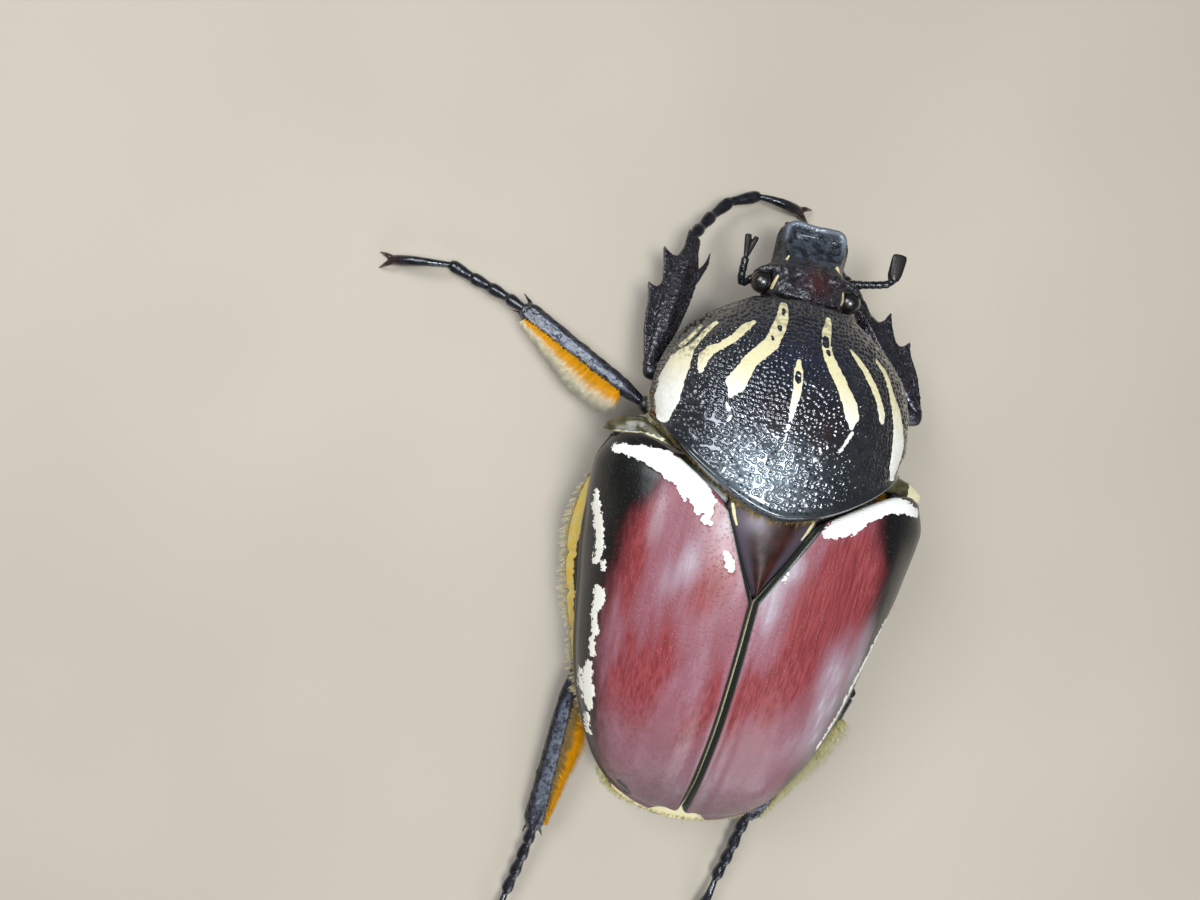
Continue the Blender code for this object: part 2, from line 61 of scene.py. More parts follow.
PRONOTUM_STATIONS = (-22.0, -20.0, -18.0, -15.5, -12.0, -9.0, -6.1, 0.9)
PRONOTUM_HALF_WIDTH = (4.6, 8.1, 10.7, 12.8, 14.0, 14.3, 13.7, 14.4)
PRONOTUM_CROWN = (16.0, 18.0, 19.7, 21.3, 22.9, 23.7, 24.2, 24.3)
PRONOTUM_MARGIN = (13.6, 13.4, 13.3, 13.3, 13.6, 14.2, 15.0, 16.0)
PRONOTUM_POWER = 2.2
PRONOTUM_THICKNESS = 1.4
PRONOTUM_FRONT_Y = (-22.0, -21.6)
PRONOTUM_REAR_Y = (0.85, -6.1)
PRONOTUM_REAR_SWEEP = 1.6

TRUNK_STATIONS = (-2.6, 0.0, 4.0, 8.0, 12.0, 16.0, 21.0, 26.0, 30.0, 33.0)
TRUNK_FLANK = (13.5, 17.6, 19.0, 19.3, 18.8, 17.8, 16.2, 14.4, 12.4, 10.2)
TRUNK_BELLY = (6.8, 5.9, 5.5, 5.5, 5.9, 6.4, 6.9, 7.2, 7.4, 7.6)
FLANK_DROP = 2.2

PYGIDIUM_STATIONS = (33.3, 35.2, 36.8, 38.0, 38.7)
PYGIDIUM_HALF_WIDTH = (9.8, 9.0, 7.6, 5.4, 2.7)
PYGIDIUM_TOP = (11.3, 11.4, 11.3, 10.9, 10.4)
PYGIDIUM_BOTTOM = (7.6, 7.8, 8.2, 8.7, 9.2)

PROSTERNUM_STATIONS = (-21.0, -19.0, -16.0, -12.0, -9.0, -7.2)
PROSTERNUM_HALF_WIDTH = (3.2, 6.0, 8.4, 9.4, 9.2, 8.0)
PROSTERNUM_TOP = (14.2, 16.0, 18.4, 20.2, 21.0, 21.2)
PROSTERNUM_BOTTOM = (10.0, 9.4, 8.8, 8.4, 8.4, 8.8)

HEAD_STATIONS = (-22.4, -23.6, -25.0, -26.2, -27.4, -28.8, -30.0, -30.9, -31.5)
HEAD_HALF_WIDTH = (4.2, 4.5, 4.5, 4.35, 4.3, 4.3, 4.15, 3.6, 2.4)
HEAD_TOP = (15.5, 15.3, 14.8, 14.2, 13.3, 12.4, 11.9, 11.6, 11.3)
HEAD_BOTTOM = (9.0, 8.9, 9.0, 9.2, 9.5, 9.8, 10.0, 10.2, 10.4)
EYE_CENTRE = (5.0, -23.5, 12.8)
EYE_RADIUS = 1.3

ANTENNA_LEFT = (
    (4.3, -25.4, 10.9), (5.5, -24.2, 10.9), (7.1, -22.9, 11.3), (7.3, -24.4, 12.0),
    (7.3, -25.7, 12.0),
)
ANTENNA_RIGHT = (
    (-4.3, -25.6, 11.2), (-5.4, -25.8, 11.9), (-7.2, -26.2, 12.3), (-8.9, -26.6, 12.5),
    (-9.4, -27.3, 12.5),
)
LAMELLA_LENGTH = 2.9
LAMELLA_HALF_WIDTH = 0.8
LAMELLA_HALF_DEPTH = 0.34

# Joints of each leg: hip, knee, tibia apex, then the tarsus down to the claw tips
LEGS = {
    "fore_left": (
        (4.5, -13.0, 6.7),
        (14.9, -11.2, 10.2),
        (13.1, -27.6, 6.0),
        ((12.1, -29.3, 4.8), (11.0, -31.2, 3.9), (9.2, -33.5, 3.0), (5.9, -35.2, 2.2)),
        (0.4, -34.9, 1.3),
    ),
    "mid_left": (
        (4.6, -4.8, 5.4),
        (14.5, -7.5, 10.3),
        (30.1, -15.0, 5.0),
        ((32.3, -15.9, 4.0), (34.7, -16.7, 3.1), (37.1, -17.4, 2.5), (39.9, -18.3, 2.1)),
        (46.9, -17.3, 1.3),
    ),
    "hind_left": (
        (7.6, 10.5, 3.7),
        (14.5, 25.6, 6.4),
        (14.7, 46.6, 3.1),
        ((14.9, 48.9, 2.7), (15.2, 51.3, 2.4), (15.6, 53.7, 2.1), (16.0, 56.0, 1.9)),
        (17.0, 62.0, 1.3),
    ),
    "fore_right": (
        (-4.5, -13.0, 6.7),
        (-17.3, -13.2, 9.6),
        (-8.9, -24.6, 6.0),
        ((-7.7, -26.3, 4.7), (-6.5, -27.8, 3.6), (-5.4, -28.9, 2.7), (-4.4, -29.8, 2.0)),
        (-1.9, -31.4, 1.3),
    ),
    "mid_right": (
        (-4.6, -4.8, 5.4),
        (-16.2, -6.4, 9.6),
        (-19.2, 9.5, 4.0),
        ((-19.2, 11.8, 3.2), (-18.9, 14.2, 2.6), (-18.4, 16.4, 2.2), (-17.7, 18.6, 1.9)),
        (-15.3, 23.4, 1.3),
    ),
    "hind_right": (
        (-7.6, 10.5, 3.4),
        (-18.7, 21.0, 7.1),
        (-11.3, 39.7, 3.1),
        ((-10.9, 42.0, 2.7), (-10.6, 44.4, 2.4), (-10.2, 46.7, 2.1), (-9.7, 48.9, 1.9)),
        (-8.5, 54.3, 1.3),
    ),
}
FEMUR_RADIUS = {"fore": 1.7, "mid": 1.6, "hind": 1.5}
TIBIA_HALF_WIDTH = {"fore": 2.05, "mid": 1.15, "hind": 1.25}
# Outline of the fore tibia: share of its length and offset outwards, round from the inner side
FORE_TIBIA_OUTLINE = (
    (0.03, -0.7), (0.10, -1.05), (0.19, -1.3), (0.29, -1.75), (0.40, -2.05), (0.53, -2.25),
    (0.66, -2.3), (0.80, -2.0), (0.89, -1.5), (0.95, -1.3), (1.0, -1.1), (1.0, -0.2),
    (1.06, 0.5), (0.98, 0.45), (0.91, 0.35), (0.865, 0.4), (0.835, 0.8), (0.83, 1.4),
    (0.845, 2.0), (0.875, 2.7), (0.82, 2.4), (0.76, 2.05), (0.70, 1.8), (0.64, 1.6),
    (0.60, 1.65), (0.575, 2.0), (0.575, 2.5), (0.592, 3.15), (0.53, 2.7), (0.48, 2.45),
    (0.42, 2.3), (0.30, 2.0), (0.21, 1.55), (0.12, 1.05), (0.07, 0.75), (0.03, 0.6),
)
COXA_ROOT = {"fore": (2.2, -12.4, 8.6), "mid": (2.6, -3.4, 7.4), "hind": (2.6, 9.2, 6.3)}
COXA_RADIUS = {"fore": 1.9, "mid": 2.0, "hind": 1.7}
CLAW_LENGTH = 1.9
CLAW_SPREAD = 0.5
# No point of a leg segment lies lower
LOWEST = {"femur": 0.4, "tibia": 0.3, "tarsus": 0.0}

# Fineness of the meshes: voxels of the fused skins, and columns and rows of the shells
VOXEL = {"head": 0.10, "antenna": 0.08, "femur": 0.18, "tibia": 0.13, "tarsus": 0.11}
ELYTRON_MESH = (170, 250)
PRONOTUM_MESH = (400, 300)

# Pale marks of the pronotum; each point is x, y and the width of the mark there
PRONOTUM_MARKS = (
    ((12.9, -6.5, 1.2), (13.0, -8.6, 2.2), (12.9, -10.5, 2.2), (12.5, -12.5, 2.0), (12.0, -13.7, 1.2)),
    ((12.0, -13.7, 0.9), (11.3, -14.9, 0.5), (10.3, -16.6, 0.45), (9.6, -17.5, 0.35)),
    ((12.6, -14.3, 0.4), (11.7, -15.7, 0.35), (10.9, -16.9, 0.3)),
    ((6.0, -18.3, 0.4), (6.9, -17.4, 0.8), (7.8, -16.1, 0.8), (8.8, -15.1, 0.7), (9.9, -14.3, 1.0)),
    ((9.9, -14.3, 1.0), (10.4, -13.5, 1.0), (10.5, -12.6, 0.8), (10.5, -11.9, 0.4)),
    ((3.0, -20.8, 0.9), (3.1, -19.4, 1.2), (3.6, -17.8, 1.4), (4.1, -16.3, 1.5), (5.1, -15.1, 1.4)),
    ((5.1, -15.1, 1.4), (6.0, -14.0, 1.4), (6.5, -12.7, 1.7), (7.0, -11.5, 2.0), (7.3, -10.1, 0.5)),
    ((1.1, -15.2, 0.35), (1.1, -14.2, 0.9), (1.0, -13.3, 1.0), (0.95, -12.6, 0.95)),
    ((0.95, -12.6, 0.95), (1.0, -11.4, 0.8), (1.1, -10.3, 0.65), (1.1, -9.1, 0.35)),
    ((1.2, -8.4, 0.45), (1.2, -8.1, 0.3)),
    ((1.2, -7.6, 0.3), (1.25, -7.0, 0.22)),
    ((1.3, -6.3, 0.25), (1.3, -6.1, 0.2)),
    ((-1.9, -20.5, 0.6), (-1.7, -19.0, 1.1), (-1.6, -17.7, 1.0), (-1.9, -16.5, 1.1)),
    ((-1.9, -16.5, 1.1), (-2.5, -15.5, 1.2), (-3.3, -14.3, 1.3), (-4.1, -13.0, 1.35)),
    ((-4.1, -13.0, 1.35), (-4.8, -11.9, 1.6), (-5.2, -10.9, 1.6), (-5.3, -9.7, 0.4)),
    ((-5.5, -9.3, 0.4), (-5.3, -8.8, 0.35)),
    ((-5.1, -8.4, 0.4), (-4.8, -7.8, 0.35)),
    ((-4.7, -7.5, 0.35), (-4.5, -7.1, 0.25)),
    ((-4.4, -17.7, 0.3), (-5.3, -16.9, 0.55), (-6.3, -15.8, 0.7), (-7.3, -14.5, 0.75)),
    ((-7.3, -14.5, 0.75), (-8.1, -13.2, 0.75), (-8.7, -11.9, 0.75), (-8.8, -11.2, 0.6)),
    ((-7.7, -17.4, 0.35), (-8.7, -16.4, 0.6), (-9.3, -15.4, 0.6), (-9.8, -14.2, 0.7)),
    ((-9.8, -14.2, 0.7), (-10.6, -12.7, 1.2), (-11.3, -10.9, 1.6), (-11.7, -9.1, 1.9)),
    ((-11.7, -9.1, 1.9), (-11.8, -7.2, 1.7), (-11.9, -5.9, 0.8)),
    ((7.5, -9.2, 0.3), (7.2, -8.7, 0.35)),
    ((6.9, -8.1, 0.25), (7.1, -7.6, 0.25)),
)
# Dark islands inside the pale marks
PRONOTUM_ISLANDS = (
    ((3.0, -20.3, 0.45), (3.05, -19.9, 0.4)),
    ((3.4, -18.3, 0.55), (3.3, -18.0, 0.45)),
    ((4.1, -17.1, 0.35), (4.0, -16.8, 0.3)),
    ((-1.55, -18.2, 0.7), (-1.6, -17.6, 0.75)),
    ((-1.9, -16.9, 0.45), (-2.0, -16.6, 0.35)),
    ((1.05, -13.9, 0.55), (1.0, -13.2, 0.7)),
)
ELYTRON_MARKS = {
    "left": (
        ((16.9, -2.2, 0.9), (15.6, -2.3, 1.2), (13.7, -2.3, 1.7), (11.7, -1.9, 2.5), (10.3, -1.3, 2.5)),
        ((10.3, -1.3, 2.5), (8.7, -0.3, 2.6), (7.4, 0.8, 2.3), (6.7, 1.7, 1.2)),
        ((9.6, 0.3, 0.6), (9.3, 1.1, 0.45)),
        ((8.0, 1.2, 0.7), (7.7, 2.1, 0.5)),
        ((6.9, 2.6, 0.9), (6.3, 2.9, 0.6)),
        ((3.9, 5.5, 0.6), (3.5, 6.2, 0.95), (3.1, 7.0, 0.7)),
        ((17.7, 2.9, 0.35), (17.4, 4.4, 0.85), (16.8, 6.0, 0.8), (16.3, 7.6, 0.8), (16.1, 9.3, 0.85)),
        ((16.1, 9.3, 0.85), (16.2, 10.5, 0.4)),
        ((15.4, 9.9, 0.4), (15.2, 10.6, 0.4)),
        ((15.1, 12.9, 0.95), (14.8, 13.8, 1.0), (15.0, 15.0, 0.8), (15.0, 15.9, 0.4)),
        ((14.9, 15.9, 0.45), (14.6, 17.0, 0.6), (14.4, 18.8, 0.5), (14.2, 20.3, 0.55)),
        ((14.1, 21.3, 0.7), (14.0, 23.0, 1.0), (13.5, 24.3, 1.1), (13.1, 25.9, 0.9), (12.9, 26.7, 0.3)),
        ((14.7, 22.7, 0.35), (14.3, 24.5, 0.4), (13.8, 25.7, 0.3)),
        ((12.9, 27.3, 0.45), (12.7, 28.0, 0.5)),
        ((12.6, 28.6, 0.5), (12.2, 29.6, 0.55)),
    ),
    "right": (
        ((5.7, 1.2, 1.2), (7.0, 0.3, 2.1), (8.5, -1.0, 2.6), (10.0, -2.2, 2.4), (11.8, -3.1, 2.1)),
        ((11.8, -3.1, 2.1), (14.1, -3.1, 1.4), (16.1, -2.7, 0.9)),
        ((8.6, 0.4, 0.6), (8.3, 0.9, 0.4)),
        ((2.7, 5.9, 0.5), (2.4, 6.7, 0.6)),
        ((16.6, 9.4, 0.35), (16.2, 11.0, 0.5), (15.6, 13.6, 0.6), (14.8, 16.4, 0.65)),
        ((14.8, 16.4, 0.65), (14.2, 19.0, 0.55), (13.4, 22.2, 0.5), (12.6, 25.3, 0.35)),
    ),
}
APICAL_SPOT = {"left": ((7.7, 34.0, 0.5), (6.9, 34.8, 0.9), (6.2, 35.5, 0.8)),
               "right": ((7.3, 35.9, 0.4), (8.8, 34.9, 0.8), (9.8, 33.9, 0.35))}
# Inner limit of the black shoulder and side of each elytron, front to rear
BLACK_EDGE_Y = (-3.0, -1.0, 1.2, 4.0, 6.5, 9.0, 11.0, 15.0, 21.0, 27.0, 32.0, 35.5)
BLACK_EDGE_X = {
    "left": (12.0, 12.6, 13.4, 14.9, 15.2, 15.0, 15.3, 15.4, 14.5, 12.9, 11.2, 8.2),
    "right": (12.0, 12.2, 12.9, 14.3, 14.4, 14.5, 14.9, 14.6, 13.4, 12.2, 11.0, 8.6),
}

# Camera in the beetle's frame, found by matching the body's landmarks in the photo
CAMERA_AT = (25.04, -6.20, 112.05)
CAMERA_RIGHT = (-0.9712, -0.2320, 0.0560)
CAMERA_UP = (0.2284, -0.9715, -0.0639)
CAMERA_BACK = (0.0692, -0.0493, 0.9964)
CAMERA_LENS = 27.0
CAMERA_SENSOR = 36.0
LIGHT_TARGET = (8.0, 5.0, 15.0)
FLOOR_REACH = 3000.0


# Shape helpers


def blend(at, stations, values):
    """Smooth curve through the stations that never overshoots them."""
    at = np.asarray(at, float)
    xs = np.asarray(stations, float)
    ys = np.asarray(values, float)
    if xs[0] > xs[-1]:
        xs, ys = xs[::-1], ys[::-1]
    run = np.diff(xs)
    rise = np.diff(ys) / run
    slope = np.zeros(len(xs))
    same = rise[:-1] * rise[1:] > 0
    first = 2 * run[1:] + run[:-1]
    second = run[1:] + 2 * run[:-1]
    mean = (first + second) / (
        first / np.where(same, rise[:-1], 1) + second / np.where(same, rise[1:], 1)
    )
    slope[1:-1] = np.where(same, mean, 0)
    slope[0], slope[-1] = rise[0], rise[-1]
    at = np.clip(at, xs[0], xs[-1])
    i = np.clip(np.searchsorted(xs, at) - 1, 0, len(run) - 1)
    t = (at - xs[i]) / run[i]
    a = (1 + 2 * t) * (1 - t) ** 2
    b = t * (1 - t) ** 2
    c = t * t * (3 - 2 * t)
    d = t * t * (t - 1)
    return a * ys[i] + b * run[i] * slope[i] + c * ys[i + 1] + d * run[i] * slope[i + 1]


def unit(vectors):
    vectors = np.asarray(vectors, float)
    return vectors / np.maximum(np.linalg.norm(vectors, axis=-1, keepdims=True), 1e-9)


def ramp(value, low, high):
    """Smooth step from 0 at low to 1 at high."""
    t = np.clip((np.asarray(value, float) - low) / (high - low), 0, 1)
    return t * t * (3 - 2 * t)


def hill(x, y, centre, spread):
    """Rounded hill of height 1."""
    return np.exp(-(((x - centre[0]) / spread[0]) ** 2) - ((y - centre[1]) / spread[1]) ** 2)


def hashed(cells, seed):
    """Repeatable numbers from 0 to 1, one for each row of whole numbers."""
    cells = cells.astype(np.int64).astype(np.uint64)
    mixed = np.full(cells.shape[:-1], 2654435761 * (seed + 1), np.uint64)
    for k in range(cells.shape[-1]):
        mixed = (mixed ^ (cells[..., k] * np.uint64(0x9E3779B97F4A7C15 + 2 * k))) * np.uint64(
            0xBF58476D1CE4E5B9
        )
        mixed = mixed ^ (mixed >> np.uint64(29))
    return (mixed >> np.uint64(40)).astype(float) / float(1 << 24)


def lumps(points, size, seed):
    """Smooth noise from -1 to 1 with lumps of about that size."""
    at = np.asarray(points, float) / size
    low = np.floor(at)
    part = at - low
    part = part * part * (3 - 2 * part)
    total = 0
    for corner in itertools.product((0, 1), repeat=at.shape[-1]):
        weight = np.prod(np.where(corner, part, 1 - part), axis=-1)
        total = total + weight * hashed(low + corner, seed)
    return total * 2 - 1


def pits(points, pitch, seed):
    """Distance to the nearest of many scattered pit centres, and a number for that pit."""
    at = np.asarray(points, float) / pitch
    home = np.floor(at)
    best = np.full(at.shape[:-1], 9.0)
    number = np.zeros(at.shape[:-1])
    for shift in itertools.product((-1, 0, 1), repeat=at.shape[-1]):
        cell = home + shift
        wander = np.stack([hashed(cell, seed + k) for k in range(at.shape[-1])], axis=-1)
        gap = np.linalg.norm(at - cell - 0.15 - 0.7 * wander, axis=-1)
        nearer = gap < best
        best = np.where(nearer, gap, best)
        number = np.where(nearer, hashed(cell, seed + 7), number)
    return best * pitch, number


def dimples(points, pitch, width, seed):
    """1 at the middle of each scattered pit, falling to 0 over its width."""
    gap, _ = pits(points, pitch, seed)
    return np.exp(-((gap / width) ** 2))


def stripe(x, y, path):
    """How far inside a band each point lies; below zero is outside."""
    best = np.full(np.shape(x), -99.0)
    for (x0, y0, w0), (x1, y1, w1) in zip(path, path[1:]):
        dx, dy = x1 - x0, y1 - y0
        t = np.clip(((x - x0) * dx + (y - y0) * dy) / (dx * dx + dy * dy), 0, 1)
        inside = (w0 + (w1 - w0) * t) / 2 - np.hypot(x - x0 - dx * t, y - y0 - dy * t)
        best = np.maximum(best, inside)
    return best


def stripes(x, y, paths):
    return np.maximum.reduce([stripe(x, y, path) for path in paths])


def dome(x, y, stations, half_width, crown, margin, power, inset):
    """Height of a shell over the plan point x, y; inset gives its inner face."""
    wide = blend(y, stations, half_width) - inset
    low = blend(y, stations, margin)
    high = blend(y, stations, crown) - inset
    across = np.clip(np.abs(x) / wide, 0, 1)
    return low + (high - low) * (1 - across**power) ** (1 / 2.1)


def elytra_dome(x, y, inset=0.0):
    widths = (ELYTRA_STATIONS, ELYTRA_HALF_WIDTH)
    return dome(x, y, *widths, ELYTRA_CROWN, ELYTRA_MARGIN, ELYTRA_POWER, inset)


def pronotum_dome(x, y, inset=0.0):
    widths = (PRONOTUM_STATIONS, PRONOTUM_HALF_WIDTH)
    return dome(x, y, *widths, PRONOTUM_CROWN, PRONOTUM_MARGIN, PRONOTUM_POWER, inset)


# Meshes as arrays of points and lists of faces


def grid_faces(rows, cols, wrap=False):
    """Quads over a grid of points; wrap joins the last column to the first."""
    a = np.arange(rows * cols).reshape(rows, cols)
    right = np.roll(a, -1, axis=1)
    quads = np.stack([a[:-1], right[:-1], right[1:], a[1:]], axis=-1)
    if not wrap:
        quads = quads[:, :-1]
    return quads.reshape(-1, 4)


def grid_normals(grid):
    return unit(np.cross(np.gradient(grid, axis=1), np.gradient(grid, axis=0)))


def rounded(outline, per_point, rounds):
    """Closed outline with that many points for each given one, its corners smoothed."""
    outline = np.array(outline)
    count = len(outline)
    closed = np.concatenate([outline, outline[:1]])
    steps = np.linspace(0, count, per_point * count, endpoint=False)
    flat = np.stack([np.interp(steps, np.arange(count + 1), closed[:, k]) for k in range(2)], 1)
    for _ in range(rounds):
        flat = (np.roll(flat, 1, 0) + 2 * flat + np.roll(flat, -1, 0)) / 4
    return flat


def point_normals(points, faces):
    """Mean normals of the quads round each point."""
    corners = points[faces]
    normal = np.cross(corners[:, 2] - corners[:, 0], corners[:, 3] - corners[:, 1])
    total = np.zeros_like(points)
    for k in range(4):
        np.add.at(total, faces[:, k], normal)
    return unit(total)


def raised(points, quads, height):
    return points + point_normals(points, quads) * height[:, None]


def closed_loft(rings, bulge):
    """Points and faces of a solid through rings, its ends rounded and closed."""
    rings = np.asarray(rings, float)
    shares = (0.93, 0.8, 0.6, 0.35, 0.12)

    def end(ring, before):
        centre = ring.mean(axis=0)
        out = unit(centre - before.mean(axis=0))
        size = np.linalg.norm(ring - centre, axis=1).mean()
        return [
            centre + (ring - centre) * s + out * size * bulge * math.sqrt(1 - s * s) for s in shares
        ]

    head = end(rings[0], rings[1])[::-1]
    tail = end(rings[-1], rings[-2])
    rings = np.concatenate([head, rings, tail])
    rows, cols = rings.shape[:2]
    points = rings.reshape(-1, 3)
    faces = grid_faces(rows, cols, wrap=True)
    points = np.concatenate([points, [rings[0].mean(axis=0), rings[-1].mean(axis=0)]])
    first, last = rows * cols, rows * cols + 1
    around = np.arange(cols)
    after = (around + 1) % cols
    top = (rows - 1) * cols
    caps = [(int(b), int(a), first) for a, b in zip(around, after)]
    caps += [(int(top + a), int(top + b), last) for a, b in zip(around, after)]
    return outwards(points, faces.tolist() + caps)


def outwards(points, faces):
    """Turns the faces outwards, judged by the enclosed volume."""
    tris = np.array([f[:3] for f in faces] + [(f[0], f[2], f[3]) for f in faces if len(f) == 4])
    a, b, c = (points[tris[:, k]] for k in range(3))
    if np.einsum("ij,ij->", a, np.cross(b, c)) < 0:
        faces = [f[::-1] for f in faces]
    return points, faces


def run_along(path):
    """Length of a path up to each of its points."""
    return np.concatenate([[0], np.cumsum(np.linalg.norm(np.diff(path, axis=0), axis=1))])


def sweep(path, widths, heights, sides, rows, shares=None, flute=0.0):
    """Rings of a limb along a path, with widths and heights given at its shares."""
    path = np.asarray(path, float)
    steps = run_along(path)
    steps = steps / steps[-1]
    shares = steps if shares is None else shares
    at = np.linspace(0, 1, rows)
    spots = np.stack([blend(at, steps, path[:, k]) for k in range(3)], axis=1)
    ahead = unit(np.gradient(spots, axis=0))
    side = unit(np.cross(ahead, (0, 0, 1)))
    top = np.cross(side, ahead)
    wide = blend(at, shares, widths)[:, None, None]
    high = blend(at, shares, heights)[:, None, None]
    angle = np.linspace(0, 2 * math.pi, sides, endpoint=False)
    swell = (1 + flute * np.cos(4 * angle))[None, :, None]
    across = side[:, None] * wide * np.cos(angle)[None, :, None] * swell
    above = top[:, None] * high * np.sin(angle)[None, :, None] * swell
    return spots[:, None] + across + above


def barrel(stations, half_width, top, bottom, steps, power=2.3, sides=80):
    """Rings along y with superelliptic sections."""
    y = np.linspace(stations[0], stations[-1], steps)[:, None]
    wide, high, low = (blend(y, stations, values) for values in (half_width, top, bottom))
    angle = np.linspace(0, 2 * math.pi, sides, endpoint=False)[None, :]
    c, s = np.cos(angle), np.sin(angle)
    x = wide * np.sign(c) * np.abs(c) ** (2 / power)
    z = (high + low) / 2 + (high - low) / 2 * np.sign(s) * np.abs(s) ** (2 / power)
    return np.stack([x, y + 0 * x, z], axis=-1)


def ball(centre, radii, columns, rows):
    """Rings of an ellipsoid."""
    tilt = math.pi * (np.arange(rows) + 0.5)[:, None] / rows
    turn = 2 * math.pi * np.arange(columns)[None, :] / columns
    shape = np.stack(
        [np.sin(tilt) * np.cos(turn), np.sin(tilt) * np.sin(turn), np.cos(tilt) + 0 * turn], axis=-1
    )
    return np.asarray(centre) + shape * radii


def new_mesh(name, points, faces):
    mesh = bpy.data.meshes.new(name)
    placed = (np.asarray(points) + STANCE_SHIFT) * MM
    mesh.from_pydata(placed.tolist(), [], faces if isinstance(faces, list) else faces.tolist())
    mesh.update()
    mesh.polygons.foreach_set("use_smooth", [True] * len(mesh.polygons))
    obj = bpy.data.objects.new(name, mesh)
    bpy.context.scene.collection.objects.link(obj)
    return obj


def fuse(parts, voxel, calm):
    """Joins closed meshes into one skin of small quads; returns its points and quads."""
    points, faces, start = [], [], 0
    for part_points, part_faces in parts:
        points.append(part_points)
        faces += [[i + start for i in face] for face in part_faces]
        start += len(part_points)
    obj = new_mesh("joining", np.concatenate(points), faces)
    remesh = obj.modifiers.new("skin", "REMESH")
    remesh.mode = "VOXEL"
    remesh.voxel_size = voxel * MM
    mesh = bpy.data.meshes.new_from_object(
        obj.evaluated_get(bpy.context.evaluated_depsgraph_get())
    )
    count = len(mesh.vertices)
    flat = np.zeros(count * 3)
    mesh.vertices.foreach_get("co", flat)
    loops = np.zeros(len(mesh.loops), np.int64)
    mesh.loops.foreach_get("vertex_index", loops)
    bpy.data.objects.remove(obj)
    points = flat.reshape(-1, 3) / MM - STANCE_SHIFT
    quads = loops.reshape(-1, 4)
    for _ in range(calm):
        points = relax(points, quads)
    return points, quads


def relax(points, quads):
    """Moves each point half way to the mean of its neighbours."""
    total = np.zeros_like(points)
    count = np.zeros(len(points))
    for k in range(4):
        a, b = quads[:, k], quads[:, (k + 1) % 4]
        np.add.at(total, a, points[b])
        np.add.at(count, a, 1)
        np.add.at(total, b, points[a])
        np.add.at(count, b, 1)
    return (points + total / count[:, None]) / 2


def piece(name, points, faces, material, masks=None, nodes=()):
    """A finished piece of the model, riding on the body and standing for CAD nodes."""
    obj = new_mesh(name, points, faces)
    obj.data.materials.append(material)
    for word, values in (masks or {}).items():
        layer = obj.data.attributes.new(word, "FLOAT", "POINT")
        layer.data.foreach_set("value", np.asarray(values, np.float32).ravel())
    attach(obj, "root")
    if nodes:
        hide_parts(*nodes)
    return obj


# Shells


def border(rows, cols):
    """Indices round a grid, counter-clockwise seen from above."""
    a = np.arange(rows * cols).reshape(rows, cols)
    return np.concatenate([a[0], a[1:, -1], a[-1, -2::-1], a[-2:0:-1, 0]])


EDGE_RINGS = 7
UNDERSIDE_SHARES = (0.96, 0.85, 0.65, 0.45, 0.25, 0.1)


def shell(outer, inner, under, centre):
    """Points and faces of a plate: outer grid, rolled edge, and an underside closed at a centre."""
    rows, cols = outer.shape[:2]
    loop = border(rows, cols)
    edge = outer.reshape(-1, 3)[loop]
    inside = inner.reshape(-1, 3)[loop]
    middle = np.array([*centre, 0.0])
    depth = inside - edge
    thick = np.linalg.norm(depth, axis=1, keepdims=True)
    out = (edge - middle) * (1, 1, 0)
    out = unit(out - depth * (np.sum(out * depth, axis=1, keepdims=True) / thick**2))
    rings = []
    for angle in np.linspace(0, math.pi, EDGE_RINGS)[1:]:
        rings.append(
            edge + depth * (1 - math.cos(angle)) / 2 + out * thick * 0.22 * math.sin(angle)
        )
    for share in UNDERSIDE_SHARES:
        plan = middle + (inside - middle) * share
        plan[:, 2] = under(plan[:, 0], plan[:, 1])
        rings.append(plan)
    count = len(loop)
    top = outer.reshape(-1, 3)
    hub = np.array([[*centre, float(under(centre[0], centre[1]))]])
    points = np.concatenate([top, *rings, hub])
    faces = grid_faces(rows, cols).tolist()
    before = loop
    for k in range(len(rings)):
        now = len(top) + k * count + np.arange(count)
        ahead_before, ahead_now = np.roll(before, -1), np.roll(now, -1)
        faces += np.stack([ahead_before, before, now, ahead_now], axis=1).tolist()
        before = now
    last = len(points) - 1
    faces += [[int(b), int(a), last] for a, b in zip(before, np.roll(before, -1))]
    return points, faces


def suture_side(y):
    """Inner edge of the elytron: along the scutellum, then along the suture."""
    corner_x, corner_y = SCUTELLUM_CORNER
    along = (y - corner_y) / (SCUTELLUM_TIP_Y - corner_y)
    return np.maximum(SUTURE_HALF_GAP, corner_x + (SUTURE_HALF_GAP - corner_x) * along)


def elytron_grid(across, along, inset=0.0):
    """Points of the left elytron, rows from front to rear."""
    t = np.linspace(0, 1, along)[:, None]
    t = t + 0.10 * np.sin(2 * math.pi * t) * (t - 0.5)
    ease = np.sin(t * math.pi / 2) ** 0.9
    s = np.linspace(0, 1, across)[None, :]
    front = SCUTELLUM_CORNER[1] * (1 - s) + HUMERUS_Y * s
    front = front + ELYTRON_FRONT_BULGE * np.sin(math.pi * s)
    rear = ELYTRON_REAR_INNER_Y * (1 - s) + ELYTRON_REAR_OUTER_Y * s
    y = front + (rear - front) * ease - inset * ease**12
    y_inner = SCUTELLUM_CORNER[1] + (ELYTRON_REAR_INNER_Y - SCUTELLUM_CORNER[1]) * ease
    y_outer = HUMERUS_Y + (ELYTRON_REAR_OUTER_Y - HUMERUS_Y) * ease
    inner = suture_side(y_inner)
    outer = blend(y_outer, ELYTRA_STATIONS, ELYTRA_HALF_WIDTH)
    x = inner + (outer - inset - inner) * np.sin(s * math.pi / 2)
    return np.stack([x, y, elytra_dome(x, y, inset)], axis=-1)


def rounding(distance, radius):
    """Drop of a rounded edge at a distance from it."""
    near = np.clip(radius - distance, 0, radius)
    return radius - np.sqrt(radius**2 - near**2)


